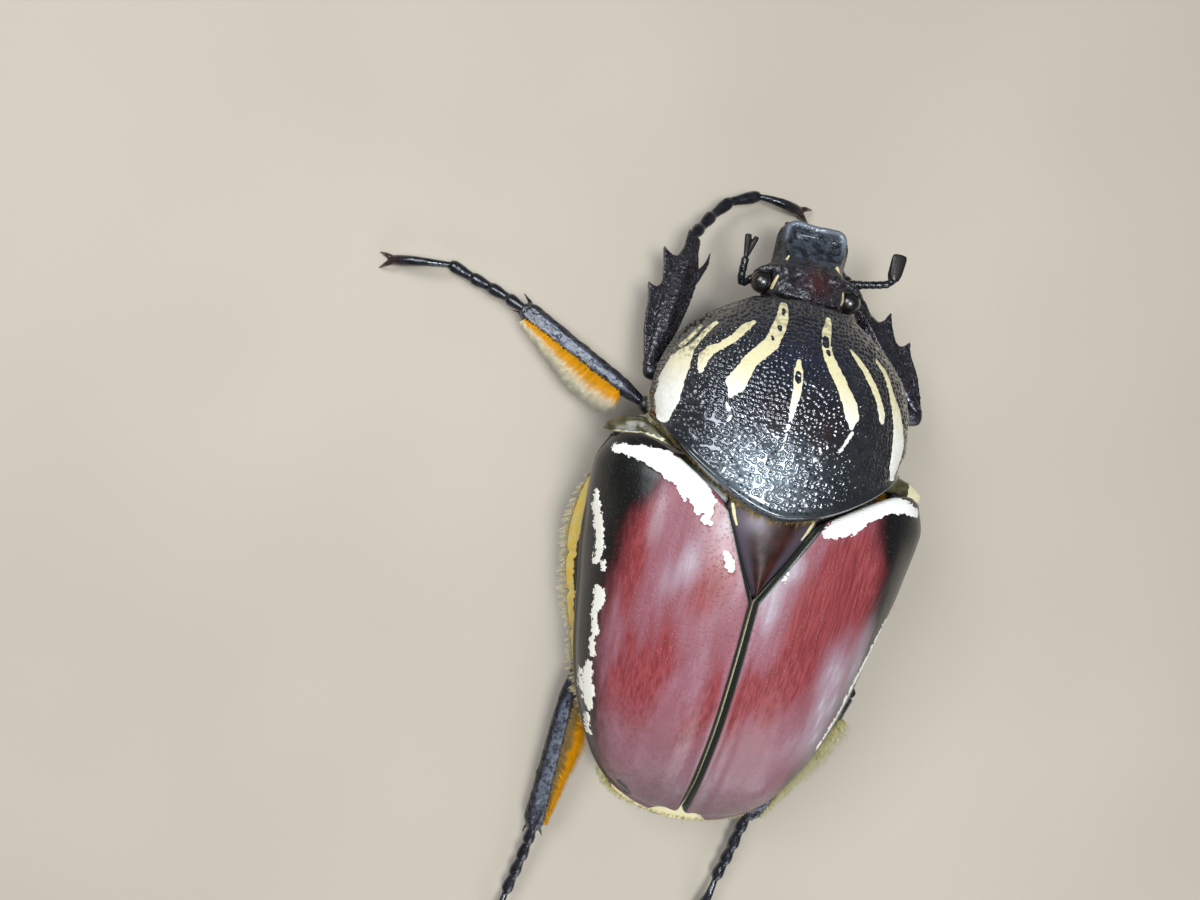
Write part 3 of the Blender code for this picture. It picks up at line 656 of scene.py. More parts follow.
def edge_distance(grid, row=None, col=None):
    """Distance of each grid point from the given border row or column."""
    start = grid[row : row + 1 or None] if row is not None else grid[:, col : col + 1 or None]
    return np.linalg.norm(grid - start, axis=-1)


def elytron_relief(grid, pale):
    """Height of calluses, ribs and the edge beads over the plain dome."""
    x, y = grid[..., 0], grid[..., 1]
    suture = edge_distance(grid, col=0)
    margin = edge_distance(grid, col=-1)
    height = 0.45 * hill(x, y, (13.2, 3.0), (2.4, 3.2))
    height += 0.35 * hill(x, y, (7.6, 31.2), (2.0, 2.2))
    height -= 0.22 * hill(x, y, (10.4, 5.0), (1.6, 5.5))
    behind = ramp(y, 12, 20)
    height += behind * (0.16 * hill(suture, 0, (0.6, 0), (0.5, 1)))
    height -= behind * (0.2 * hill(suture, 0, (1.9, 0), (0.8, 1)))
    height += 0.12 * hill(margin, 0, (0.9, 0), (0.45, 1)) * ramp(y, 3, 7)
    height -= 0.10 * hill(margin, 0, (1.9, 0), (0.6, 1)) * ramp(y, 3, 7)
    height += 0.035 * lumps(grid[..., :2] / (1, 2.2), 2.4, 5)
    height += 0.010 * lumps(grid[..., :2] / (1, 3.0), 0.7, 6)
    height += 0.05 * ramp(pale, -0.05, 0.1)
    height -= rounding(suture, 0.5) * ramp(y, 3.0, 10.5)
    height -= rounding(suture, 0.3) * (1 - ramp(y, 3.0, 10.5))
    height -= rounding(edge_distance(grid, row=0), 0.4)
    height -= rounding(edge_distance(grid, row=-1), 0.3)
    return height


def elytron(word, material):
    side = SIDES[word]
    grid = elytron_grid(*ELYTRON_MESH)
    inner = elytron_grid(*ELYTRON_MESH, ELYTRON_THICKNESS)
    pale = stripes(grid[..., 0], grid[..., 1], ELYTRON_MARKS[word])
    rim = edge_distance(grid, col=-1)
    grid = grid + grid_normals(grid) * elytron_relief(grid, pale)[..., None]
    points, faces = shell(
        grid, inner, lambda x, y: elytra_dome(x, y, ELYTRON_THICKNESS), (8.0, 16.0)
    )
    x, y = points.T[:2]
    black = x - blend(y, BLACK_EDGE_Y, BLACK_EDGE_X[word])
    suture = x - suture_side(y)
    spot = stripe(x, y, APICAL_SPOT[word])
    pale = stripes(x, y, ELYTRON_MARKS[word])
    masks = {"pale": pale, "black": black, "suture": suture, "spot": spot, "rear": y}
    masks["deep"] = zones(x, y, DEEP_RED[word])
    # Pale bloom over the red, partly real bloom and partly painted sheen
    masks["bloom"] = zones(x, y, SHEEN_AND_BLOOM[word])
    masks["rim"] = np.concatenate([rim.ravel(), np.zeros(len(points) - rim.size)])
    points = points * (side, 1, 1)
    if side < 0:
        faces = [f[::-1] for f in faces]
    piece("elytron_" + word, points, faces, material, masks, ["elytron_" + word])


# Where the wine red shows clear of the bloom and its painted sheen: centre, spread and weight of each
# zone
DEEP_RED = {
    "left": (
        ((13.4, 5.0), (2.2, 6.0), 0.9),
        ((12.5, 11.0), (1.5, 4.0), 0.7),
        ((4.2, 7.5), (1.5, 2.2), 0.9),
        ((5.2, 10.5), (1.5, 2.6), 0.8),
        ((7.2, 17.0), (1.4, 4.5), 0.95),
        ((9.6, 20.0), (1.6, 6.0), 0.8),
        ((8.0, 24.5), (2.0, 5.0), 0.6),
        ((1.6, 21.0), (1.1, 6.0), 0.9),
        ((3.2, 25.0), (1.2, 4.0), 0.7),
        ((11.5, 22.0), (1.2, 6.0), 0.6),
    ),
    "right": (
        ((10.0, 4.0), (4.0, 6.0), 1.0),
        ((7.0, 9.5), (2.6, 6.0), 1.0),
        ((12.0, 7.0), (1.8, 4.0), 0.7),
        ((5.6, 15.0), (1.8, 5.0), 0.95),
        ((7.2, 16.5), (1.0, 3.5), 0.5),
        ((2.2, 19.0), (1.6, 3.5), 0.95),
        ((4.6, 20.5), (1.6, 3.5), 0.7),
        ((1.4, 23.0), (0.8, 3.5), 0.9),
    ),
}
# Where a pale satin bloom lies over the red, together with painted sheen and glare where it is
# strongest
SHEEN_AND_BLOOM = {
    "left": (
        ((4.6, 2.8), (1.0, 1.4), 0.9),
        ((7.2, 7.2), (1.2, 2.8), 1.0),
        ((9.0, 9.5), (1.2, 3.0), 0.6),
        ((11.4, 4.5), (1.2, 3.0), 0.7),
        ((3.8, 16.0), (1.2, 3.0), 0.35),
        ((1.4, 33.0), (0.9, 3.0), 0.5),
    ),
    "right": (
        ((3.2, 5.2), (1.2, 1.9), 1.3),
        ((1.8, 9.5), (1.2, 3.4), 1.4),
        ((10.6, 16.0), (1.6, 4.0), 0.8),
        ((11.6, 22.0), (1.8, 7.0), 0.95),
        ((13.8, 14.0), (1.3, 6.0), 0.9),
        ((8.6, 24.0), (1.8, 4.0), 0.5),
        ((1.4, 32.0), (0.9, 4.0), 0.6),
    ),
}


def zones(x, y, places):
    """Sum of weighted hills, up to 1."""
    total = 0
    for centre, spread, weight in places:
        total = total + weight * hill(x, y, centre, spread)
    return np.clip(total, 0, 1)


def pronotum_grid(across, along, inset=0.0):
    t = np.linspace(0, 1, along)[:, None]
    middle = PRONOTUM_FRONT_Y[0] + (PRONOTUM_REAR_Y[0] - PRONOTUM_FRONT_Y[0]) * t
    edge = PRONOTUM_FRONT_Y[1] + (PRONOTUM_REAR_Y[1] - PRONOTUM_FRONT_Y[1]) * t
    wide = blend(edge, PRONOTUM_STATIONS, PRONOTUM_HALF_WIDTH) - inset
    share = np.sin(np.linspace(-1, 1, across) * math.pi / 2)[None, :]
    y = middle + (edge - middle) * np.abs(share) ** PRONOTUM_REAR_SWEEP
    x = wide * share
    return np.stack([x, y + 0 * x, pronotum_dome(x, y, inset)], axis=-1)


def pronotum_relief(grid, pale):
    """Height of granules, ring pits and the smooth rear border over the plain dome."""
    x, y = grid[..., 0], grid[..., 1]
    flat = grid[..., :2]
    rear = edge_distance(grid, row=-1)
    sides = np.minimum(edge_distance(grid, col=0), edge_distance(grid, col=-1))
    big = coarse_zone(x, y)
    gap, number = pits(flat, 0.44, 3)
    size = 0.17 + 0.04 * number
    fine = 0.13 * np.sqrt(np.clip(1 - (gap / size) ** 2, 0, 1)) * (0.7 + 0.4 * number)
    gap, number = pits(flat, 0.66, 17)
    ring = (0.05 * hill(x, y, (4.5, -3.0), (4.0, 3.0)) - 0.12) * np.exp(-(((gap - 0.19) / 0.06) ** 2))
    rough = fine * (1 - big) + ring * big
    plain = ramp(rear, 0.75, 1.3) * ramp(sides, 0.3, 0.8)
    rough = rough * plain * (1 - 0.85 * ramp(pale, -0.08, 0.06))
    height = rough + 0.05 * ramp(pale, -0.06, 0.08)
    height += 0.12 * lumps(flat / (1.4, 1.0), 1.1, 8) * big * plain
    height += 0.03 * lumps(flat, 1.1, 9)
    height += 0.18 * hill(rear, 0, (0.45, 0), (0.35, 1))
    height += 0.2 * hill(sides, 0, (0.35, 0), (0.3, 1)) * ramp(-y, 4, 7)
    wrinkle = np.abs(lumps(flat / (0.6, 1.6), 0.7, 12)) * ramp(-y, 18.5, 21)
    height += 0.22 * wrinkle * hill(x, 0, (0, 0), (3.5, 1))
    return height - rounding(rear, 0.35) - rounding(edge_distance(grid, row=0), 0.3)


def coarse_zone(x, y):
    """1 where the pronotum has large ring pits, 0 where it has small granules."""
    drift = 1.2 * lumps(np.stack([x, y], axis=-1), 4.0, 31)
    return ramp(y + 0.22 * np.abs(x) + drift, -8.8, -5.2)


def pronotum(material):
    grid = pronotum_grid(*PRONOTUM_MESH)
    pale = pronotum_marks(grid[..., 0], grid[..., 1])
    grid = grid + grid_normals(grid) * pronotum_relief(grid, pale)[..., None]
    inner = pronotum_grid(*PRONOTUM_MESH, PRONOTUM_THICKNESS)
    points, faces = shell(
        grid, inner, lambda x, y: pronotum_dome(x, y, PRONOTUM_THICKNESS), (0.0, -10.0)
    )
    x, y = points.T[:2]
    masks = {"pale": pronotum_marks(x, y), "rear": y, "worn_and_glare": worn_and_glare(x, y)}
    # Where painted blue-violet sheen lies over the front middle of the pronotum
    masks["violet"] = hill(x, y, (0.5, -16.0), (6.0, 4.0))
    masks["brown"] = np.clip(
        hill(x, y, (2.8, -9.2), (2.2, 2.2)) + hill(x, y, (-2.4, -9.0), (2.2, 2.2)), 0, 1
    )
    masks["olive"] = olive(x, y)
    # Where a painted glare lightens the rear left of the pronotum
    masks["haze"] = hill(x, y, (2.6, -3.0), (4.2, 3.4))
    piece("pronotum", points, faces, material, masks, ["pronotum"])


def olive(x, y):
    """The translucent olive side margins in front."""
    edge = blend(y, PRONOTUM_STATIONS, PRONOTUM_HALF_WIDTH)
    return ramp(np.abs(x) - edge, -1.9, -0.8) * ramp(-y, 12.0, 14.5) * ramp(y, -20.5, -18.5)


def pronotum_marks(x, y):
    marks = stripes(x, y, PRONOTUM_MARKS)
    return np.minimum(marks, -stripes(x, y, PRONOTUM_ISLANDS))


def worn_and_glare(x, y):
    """How thin the pale scaling is: worn at the front, whole at the rear."""
    front = 0.6 * ramp(-y, 15.5, 19.5)
    corner = ramp(np.abs(x), 9.5, 11.0) * ramp(-y, 12.5, 14.5)
    return np.clip(front + corner, 0, 1)


def scutellum(material):
    across, along = 50, 80
    t = np.linspace(0, 1, along)[:, None]
    s = np.linspace(-1, 1, across)[None, :]
    corner = SCUTELLUM_CORNER[0] - 0.3
    front_y = SCUTELLUM_CORNER[1] - 0.9
    tip_y = SCUTELLUM_TIP_Y - 0.75
    y = front_y + (tip_y - front_y) * t + 0 * s
    half = np.minimum(corner, corner * (tip_y - y) / (tip_y - SCUTELLUM_CORNER[1])) + 0.12
    x = half * s
    z = elytra_dome(x, y) - 1.0 + 0.75 * (1 - s * s) + 0.5 * t
    outer = np.stack([x, y, z - 0.12 * np.abs(s) ** 8], axis=-1)
    outer[..., 2] += 0.03 * lumps(outer[..., :2], 1.3, 45)
    inner = outer - (0, 0, 0.6)
    points, faces = shell(outer, inner, lambda x, y: elytra_dome(x, y) - 1.6, (0.0, 3.6))
    x, y = points.T[:2]
    marks = (((4.3, 0.5, 0.3), (3.9, 1.6, 0.35)), ((3.85, 1.7, 0.3), (3.45, 2.5, 0.18)))
    masks = {"pale": stripes(np.abs(x), y, marks)}
    masks["side"] = np.abs(x) / (corner * np.clip((tip_y - y) / 8.3, 0.05, 1))
    # Where a painted highlight lies at the front left of the scutellum
    masks["painted_highlight"] = hill(x, y, (1.7, 1.6), (1.4, 1.3))
    piece("scutellum", points, faces, material, masks, ["scutellum"])


SHOULDER_OUTLINE = (
    (9.2, -3.1), (11.5, -4.3), (14.4, -6.1), (16.6, -5.6), (18.2, -4.6), (18.5, -3.7),
    (17.3, -3.7), (14.1, -4.2), (12.0, -4.2), (10.2, -3.5),
)


def shoulder(word, material):
    """Side plate of the mesothorax between pronotum corner and humerus."""
    side = SIDES[word]
    flat = rounded(SHOULDER_OUTLINE, 24, 12)
    centre = flat.mean(axis=0)
    rings = []
    levels = ((0, 0.7), (0.15, 0.9), (0.35, 1), (0.6, 1), (0.8, 0.96), (0.93, 0.9), (1, 0.78))
    for level, share in levels:
        plan = centre + (flat - centre) * share
        top = 20.2 - 0.34 * plan[:, 0]
        rings.append(np.column_stack([plan, 12.4 + (top - 12.4) * level]))
    points, faces = closed_loft(rings, 0.06)
    points = points + 0.12 * lumps(points, 0.8, 3)[:, None]
    x, y, z = points.T
    rear_line = ((17.6, -3.7, 0.5), (14.1, -4.1, 0.5), (12.0, -4.1, 0.3))
    edge = np.minimum(x - 16.1, 15.6 - z) if side < 0 else stripe(x, y, rear_line)
    points, faces = outwards(points * (side, 1, 1), faces)
    piece("shoulder_" + word, points, faces, material, {"pale": edge}, ["shoulder_" + word])


# Trunk and rear


def trunk_rings(steps, arc):
    """Rings of the trunk inside the coat: crown under the shells, flanks and belly."""
    y = np.linspace(TRUNK_STATIONS[0] + 0.1, TRUNK_STATIONS[-1] - 0.1, steps)[:, None]
    wide = blend(y, ELYTRA_STATIONS, ELYTRA_HALF_WIDTH) - ELYTRON_THICKNESS - 0.5
    low = blend(y, ELYTRA_STATIONS, ELYTRA_MARGIN) - 0.5
    high = np.minimum(blend(y, ELYTRA_STATIONS, ELYTRA_CROWN) - 2.4, 20.6)
    flank = blend(y, TRUNK_STATIONS, TRUNK_FLANK)
    belly = blend(y, TRUNK_STATIONS, TRUNK_BELLY)
    wide = np.minimum(wide, flank - 0.6)
    angle = np.linspace(0, math.pi, arc)[None, :]
    c, s = np.cos(angle), np.sin(angle)
    x_top = wide * np.sign(c) * np.abs(c) ** 0.85
    z_top = low + (high - low) * s**0.9
    x_low = -flank * np.sign(c) * np.abs(c) ** 0.9
    z_low = low - FLANK_DROP - (low - FLANK_DROP - belly) * s**0.9
    top = np.stack([x_top, y + 0 * x_top, z_top], axis=-1)
    under = np.stack([x_low, y + 0 * x_low, z_low], axis=-1)
    return np.concatenate([top, under], axis=1)


SEGMENT_Y = (12.2, 16.6, 20.8, 24.8, 28.6, 31.6)


def trunk(material):
    rings = trunk_rings(120, 64)
    x, y, z = rings[..., 0], rings[..., 1], rings[..., 2]
    below = ramp(-z, -11.6, -9.0)
    groove = sum(np.exp(-(((y - at + 0.05 * np.abs(x)) / 0.28) ** 2)) for at in SEGMENT_Y)
    midline = np.exp(-((x / 0.35) ** 2)) * ramp(-y, -10.5, -9.0)
    dent = -0.35 * groove * below - 0.3 * midline * below
    dent = dent - 0.04 * dimples(rings[..., :2], 0.5, 0.12, 60) * below + 0.06 * lumps(rings, 1.7, 61)
    keel = 0.9 * hill(x, y, (0, -1.0), (1.3, 3.0)) * below
    centre = rings.mean(axis=1, keepdims=True)
    out = unit((rings - centre) * (1, 0.2, 1))
    rings = rings + out * (dent + keel - 0.08)[..., None]
    points, faces = closed_loft(rings, 0.05)
    masks = {"flank": flank_strip(*points.T)}
    piece("trunk", points, faces, material, masks, ["thorax", "abdomen"])


def flank_strip(x, y, z):
    """How far inside the yellow strip along the flank each point lies."""
    flank = blend(y, TRUNK_STATIONS, TRUNK_FLANK)
    out = np.abs(x) - flank + 1.3
    return np.minimum(np.minimum(out, 2.6 - np.abs(z - 10.4)), np.minimum(y - 0.5, 30 - y))


def pygidium(material):
    rings = barrel(PYGIDIUM_STATIONS, PYGIDIUM_HALF_WIDTH, PYGIDIUM_TOP, PYGIDIUM_BOTTOM, 60)
    points, faces = closed_loft(rings, 0.12)
    points = points - (0, 0, 1) * (0.05 * dimples(points, 0.4, 0.1, 70))[:, None]
    pale = points[:, 2] - 10.0 + 0.4 * lumps(points, 1.5, 71)
    piece("pygidium", points, faces, material, {"pale": pale}, ["pygidium"])


def prosternum(material):
    rings = barrel(
        PROSTERNUM_STATIONS, PROSTERNUM_HALF_WIDTH, PROSTERNUM_TOP, PROSTERNUM_BOTTOM, 70
    )
    points, faces = closed_loft(rings, 0.1)
    out = unit((points - points.mean(axis=0)) * (1, 0.3, 1))
    points = points - out * (0.06 * dimples(points, 0.5, 0.13, 72))[:, None]
    points = points + out * (0.08 * lumps(points, 1.2, 73))[:, None]
    piece("prosternum", points, faces, material, nodes=["prosternum"])


# Head


def mirrored(path):
    return [(-x, y, z) for x, y, z in path]


def stick(path, widths, heights=None, rows=20, sides=16, bulge=0.5):
    heights = widths if heights is None else heights
    return closed_loft(sweep(path, widths, heights, sides, rows), bulge)


def head_parts():
    skull = barrel(HEAD_STATIONS, HEAD_HALF_WIDTH, HEAD_TOP, HEAD_BOTTOM, 60, 2.9, 72)
    parts = [closed_loft(skull, 0.12)]
    canthus = [(3.0, -25.3, 13.4), (4.3, -25.2, 13.6), (5.4, -24.8, 13.5), (6.1, -24.3, 13.0)]
    socket = [(2.8, -25.4, 11.4), (4.1, -25.5, 11.3), (4.5, -25.4, 11.2)]
    palp = [(1.6, -27.5, 10.0), (2.4, -29.2, 9.2), (2.8, -30.6, 8.9), (2.9, -31.3, 8.9)]
    mandible = [(2.2, -26.5, 9.7), (3.1, -28.8, 9.6), (2.9, -30.6, 9.9)]
    cheek = [(3.4, -24.8, 12.0), (4.0, -23.4, 12.2), (4.1, -22.5, 12.4)]
    for turn in (list, mirrored):
        parts.append(stick(turn(canthus), [0.8, 0.5, 0.38, 0.25], [0.6, 0.4, 0.3, 0.22]))
        parts.append(stick(turn(socket), [0.75, 0.7, 0.6]))
        parts.append(stick(turn(palp), [0.35, 0.42, 0.36, 0.42]))
        parts.append(stick(turn(mandible), [0.9, 0.8, 0.5], [0.5, 0.45, 0.3]))
        parts.append(stick(turn(cheek), [1.0, 0.9, 0.7], [1.6, 1.6, 1.4]))
    mentum = [(0, -24.0, 9.0), (0, -26.5, 8.9), (0, -28.6, 9.4)]
    parts.append(stick(mentum, [1.9, 2.1, 1.6], [0.7, 0.7, 0.5]))
    return parts


def head_relief(points):
    """Scooped clypeus with a raised rim, ridged brow and scattered pits."""
    x, y, z = points.T
    top = blend(y, HEAD_STATIONS, HEAD_TOP)
    above = ramp(z - top, -1.4, -0.3)
    edge = clypeus_edge(x, y)
    plate = ramp(-y, 26.3, 27.2)
    scoop = ramp(edge, 0.35, 1.1) * plate
    rim = np.exp(-(((edge - 0.12) / 0.25) ** 2)) * plate
    frons = ramp(y, -26.6, -25.6)
    height = -0.55 * scoop + 0.22 * rim
    height -= 0.9 * ramp(-edge, 0.1, 0.9) * plate
    height += 0.22 * hill(x, y, (0.2, -28.0), (0.9, 1.5))
    height -= 0.25 * hill(np.abs(x - 0.2), y, (1.9, -29.3), (0.8, 0.7))
    height += 0.35 * np.exp(-((x / 0.8) ** 2)) * frons
    height -= 0.35 * hill(np.abs(x), y, (1.9, -24.9), (0.7, 1.2))
    height += 0.25 * hill(np.abs(x), y, (3.0, -25.4), (0.6, 0.8))
    height -= 0.35 * hill(x, y, (0, -26.5), (3.2, 0.35))
    gap, number = pits(points, 0.36, 80)
    pit = -0.06 * np.exp(-((gap / 0.11) ** 2)) * (0.5 + 0.7 * number)
    rough = 0.10 * lumps(points, 0.8, 81) + 0.07 * lumps(points, 0.4, 82) * frons
    return (height + rough) * above + pit


def clypeus_edge(x, y):
    """Distance in from the rim of the clypeus, a little concave in front."""
    side = 3.25 + 0.2 * ramp(-y, 26.5, 28.5) - np.abs(x)
    front = y + 31.25 - 0.25 * (1 - (x / 3.2) ** 2)
    corner = 1.3 - np.hypot(np.maximum(1.3 - side, 0), np.maximum(1.3 - front, 0))
    return np.minimum(np.minimum(side, front), corner)


def head(material):
    points, quads = fuse(head_parts(), VOXEL["head"], 2)
    x, y, z = points.T
    narrow = 0.20 * ramp(z, 10.4, 12.4) * ramp(-y, 25.0, 27.0)
    points = np.stack([x * (1 - narrow), y, z], axis=1)
    points = raised(points, quads, head_relief(points))
    for side in (1, -1):
        centre = np.array(EYE_CENTRE) * (side, 1, 1)
        away = points - centre
        near = np.linalg.norm(away, axis=1, keepdims=True)
        points = np.where(near < EYE_RADIUS + 0.1, centre + away / near * (EYE_RADIUS + 0.1), points)
    x, y, z = points.T
    marks = (
        ((3.0, -26.5, 0.22), (2.85, -26.9, 0.16)),
        ((-2.75, -26.9, 0.42), (-3.0, -26.5, 0.3)),
        ((3.75, -24.3, 0.15), (4.0, -23.5, 0.3), (4.05, -22.9, 0.2)),
        ((-3.7, -24.2, 0.2), (-3.85, -23.4, 0.35), (-3.8, -22.9, 0.3)),
    )
    above = ramp(z, 11.6, 12.4)
    masks = {"pale": np.where(above > 0.5, stripes(x, y, marks), -1.0)}
    masks["rust"] = hill(x, y, (-0.6, -24.4), (1.3, 1.5)) * above
    masks["grey"] = ramp(-y, 26.0, 27.3) * ramp(clypeus_edge(x, y), -0.1, 0.25)
    # Clypeus rim, where a painted highlight goes
    masks["rim"] = np.exp(-(((clypeus_edge(x, y) - 0.15) / 0.25) ** 2)) * ramp(-y, 28.0, 30.3)
    piece("head", points, quads, material, masks, ["head"])


def eye(word, material):
    side = SIDES[word]
    rings = ball((0, 0, 0), (EYE_RADIUS, EYE_RADIUS * 0.97, EYE_RADIUS * 0.98), 96, 64)
    rings = rings * (1 + 0.006 * dimples(rings / EYE_RADIUS, 0.07, 0.03, 90))[..., None]
    points, faces = closed_loft(rings + np.array(EYE_CENTRE) * (side, 1, 1), 0.0)
    inner = (EYE_CENTRE[0] - np.abs(points[:, 0])) + 0.35 * lumps(points, 0.5, 91)
    piece("eye_" + word, points, faces, material, {"inner": inner}, ["eye_" + word])


def antenna_parts(path, club_turn, fan):
    """Scape, funicle of beads and a club of three lamellae."""
    path = np.asarray(path, float)
    steps = run_along(path)
    beads = 6
    parts = [stick(path[:2], [0.42, 0.56], None, 24, 20)]
    cuts = np.linspace(steps[1], steps[-1], beads + 1)
    for k in range(beads):
        a, b = (
            np.array([np.interp(at, steps, path[:, n]) for n in range(3)])
            for at in (cuts[k] - 0.12, cuts[k + 1] - 0.02)
        )
        fat = 0.52 if k == 0 else 0.45
        parts.append(stick((a, (a + b) / 2, b), [fat * 0.7, fat * 0.95, fat], None, 14, 16, 0.35))
    root = path[-1]
    turns = [(turn, 0.25 * turn) for turn in fan] or [(0.05, 0.36), (-0.05, -0.36)]
    plump = 0.36 if fan else 1.0
    for turn, lift in [(0.0, 0.0), *turns]:
        ahead = np.array((math.cos(club_turn + turn), math.sin(club_turn + turn), 0.0))
        start = root + (0, 0, lift) - ahead * 0.15
        line = [start + ahead * LAMELLA_LENGTH * s for s in (0.0, 0.25, 0.55, 0.85, 0.97)]
        wide = [LAMELLA_HALF_WIDTH * plump * w for w in (0.6, 0.9, 1.0, 1.08, 0.98)]
        high = [LAMELLA_HALF_DEPTH * w for w in (0.8, 0.9, 1.0, 1.0, 0.85)]
        parts.append(stick(line, wide, high, 30, 20, 0.25))
    return parts


def antenna(word, path, club_turn, fan, material):
    points, quads = fuse(antenna_parts(path, club_turn, fan), VOXEL["antenna"], 1)
    points = raised(points, quads, -0.02 * dimples(points, 0.2, 0.06, 95))
    club = np.linalg.norm(points - np.asarray(path[-1]), axis=1)
    ahead = np.array((math.cos(club_turn), math.sin(club_turn), 0.0))
    masks = {"club": np.where((points - path[-1]) @ ahead > 0.1, club, 0.0)}
    name = "antenna_" + word
    piece(name, points, quads, material, masks, [name])


# Legs


def spike(root, tip, width):
    """Pointed tooth with a slight hook."""
    root, tip = np.asarray(root, float), np.asarray(tip, float)
    lean = np.cross(tip - root, (0, 0, 1)) * 0.05
    path = [root, root + (tip - root) * 0.4 + lean, root + (tip - root) * 0.75 + lean * 0.6, tip]
    widths = [width, width * 0.7, width * 0.36, 0.07]
    return stick(path, widths, [w * 0.75 for w in widths], 24, 16, 0.3)


def leg_axes(knee, apex, side):
    knee, apex = np.asarray(knee, float), np.asarray(apex, float)
    length = np.linalg.norm(apex - knee)
    ahead = (apex - knee) / length
    across = unit(np.cross(ahead, (0, 0, 1)))
    outer = across * (1 if across[0] * side > 0 else -1)
    return knee, apex, length, ahead, outer


def upward(ahead, across):
    """Upper side of a leg segment."""
    level = np.cross(ahead, across)
    return level * np.sign(level[2])


def laid(points, quads, height, floor_level):
    """Points of a leg segment with its relief raised, kept above a level."""
    points = raised(points, quads, height)
    points[:, 2] = np.maximum(points[:, 2], floor_level)
    return points


def femur(name, hip, knee, material):
    kind, word = name.split("_")
    side = SIDES[word]
    hip, knee = np.asarray(hip, float), np.asarray(knee, float)
    radius = FEMUR_RADIUS[kind]
    shares = (0.0, 0.08, 0.3, 0.6, 0.85, 0.95, 1.0)
    swell = np.array((0.6, 0.85, 1.04, 1.0, 0.82, 0.66, 0.55)) * radius
    rings = sweep([hip, (hip + knee) / 2, knee], swell, swell * 0.85, 28, 70, shares=shares)
    root = np.array(COXA_ROOT[kind]) * (side, 1, 1)
    coxa = COXA_RADIUS[kind]
    parts = [closed_loft(rings, 0.5)]
    line = (root, (root + hip) / 2, hip)
    parts.append(stick(line, [coxa * 0.8, coxa, coxa * 0.62], None, 24, 24, 0.6))
    along = (knee - hip) / np.linalg.norm(knee - hip)
    parts.append(closed_loft(ball(hip + along * 1.0, (radius * 0.8,) * 3, 20, 14), 0.0))
    points, quads = fuse(parts, VOXEL["femur"], 2)
    height = -0.05 * dimples(points, 0.42, 0.11, 100) + 0.05 * lumps(points, 1.1, 101)
    points = laid(points, quads, height, LOWEST["femur"])
    share = np.clip((points - hip) @ (knee - hip) / np.sum((knee - hip) ** 2), -0.5, 1)
    node = "femur_" + name
    piece(node, points, quads, material, {"share": share}, [node])


def fore_blade(knee, length, ahead, outer):
    """Flat toothed plate of the fore tibia with its inner spur."""
    flat = rounded(FORE_TIBIA_OUTLINE, 8, 3)
    above = upward(ahead, outer)
    plan = knee + ahead * (flat[:, :1] * length) + outer * flat[:, 1:]
    count = len(plan)
    points = np.concatenate([plan - above * 0.42, plan + above * 0.42])
    side = [(k, (k + 1) % count, count + (k + 1) % count, count + k) for k in range(count)]
    caps = [tuple(range(count))[::-1], tuple(range(count, 2 * count))]
    spur = ((0.70, -1.9), (0.80, -2.45), (0.88, -2.75), (0.95, -2.75))
    line = [knee + ahead * length * share + outer * reach for share, reach in spur]
    return [(points, side + caps), stick(line, [0.5, 0.36, 0.22, 0.07], None, 24, 16, 0.3)]


def tibia_parts(kind, side, knee, apex):
    knee, apex, length, ahead, outer = leg_axes(knee, apex, side)
    half = TIBIA_HALF_WIDTH[kind]
    if kind == "fore":
        shares = (0.0, 0.1, 0.2, 0.4, 0.6, 0.8, 0.93, 1.0)
        swell = np.array((0.5, 0.6, 0.75, 1.05, 1.1, 0.95, 0.6, 0.5)) * half * 0.72
        high = np.array((0.8, 0.85, 0.95, 1.05, 1.0, 0.9, 0.75, 0.65))
        line = [knee + ahead * length * 0.03, knee + ahead * length * 0.5 - outer * 0.3]
        line.append(apex - outer * 0.5)
        rings = sweep(line, swell, high, 32, 90, shares=shares)
        return [closed_loft(rings, 0.3), *fore_blade(knee, length, ahead, outer)]
    shares = (0.0, 0.06, 0.12, 0.25, 0.5, 0.8, 0.94, 1.0)
    swell = np.array((0.5, 0.66, 0.8, 0.92, 0.98, 1.06, 1.12, 0.8)) * half
    line = [knee + ahead * length * 0.02, (knee + apex) / 2, apex]
    rings = sweep(line, swell, swell * 0.85, 32, 90, shares=shares, flute=0.05)
    parts = [closed_loft(rings, 0.3)]
    for swing in (0.55, -0.75):
        root = apex - ahead * 1.2 + outer * 0.6 * swing
        tip = apex + ahead * 1.5 + outer * 2.0 * swing - (0, 0, 0.5)
        parts.append(spike(root, tip, 0.42))
    root = knee + ahead * length * 0.62 + outer * half * 0.3
    parts.append(spike(root, root + ahead * 0.8 + outer * 1.1, 0.6))
    for turn in np.linspace(-1.2, 1.2, 5):
        sideways = outer * math.sin(turn) + np.array((0, 0, 0.75)) * math.cos(turn)
        root = apex - ahead * 0.7 + sideways * 0.65
        parts.append(spike(root, root + ahead * 1.1 + sideways * 0.35, 0.28))
    return parts


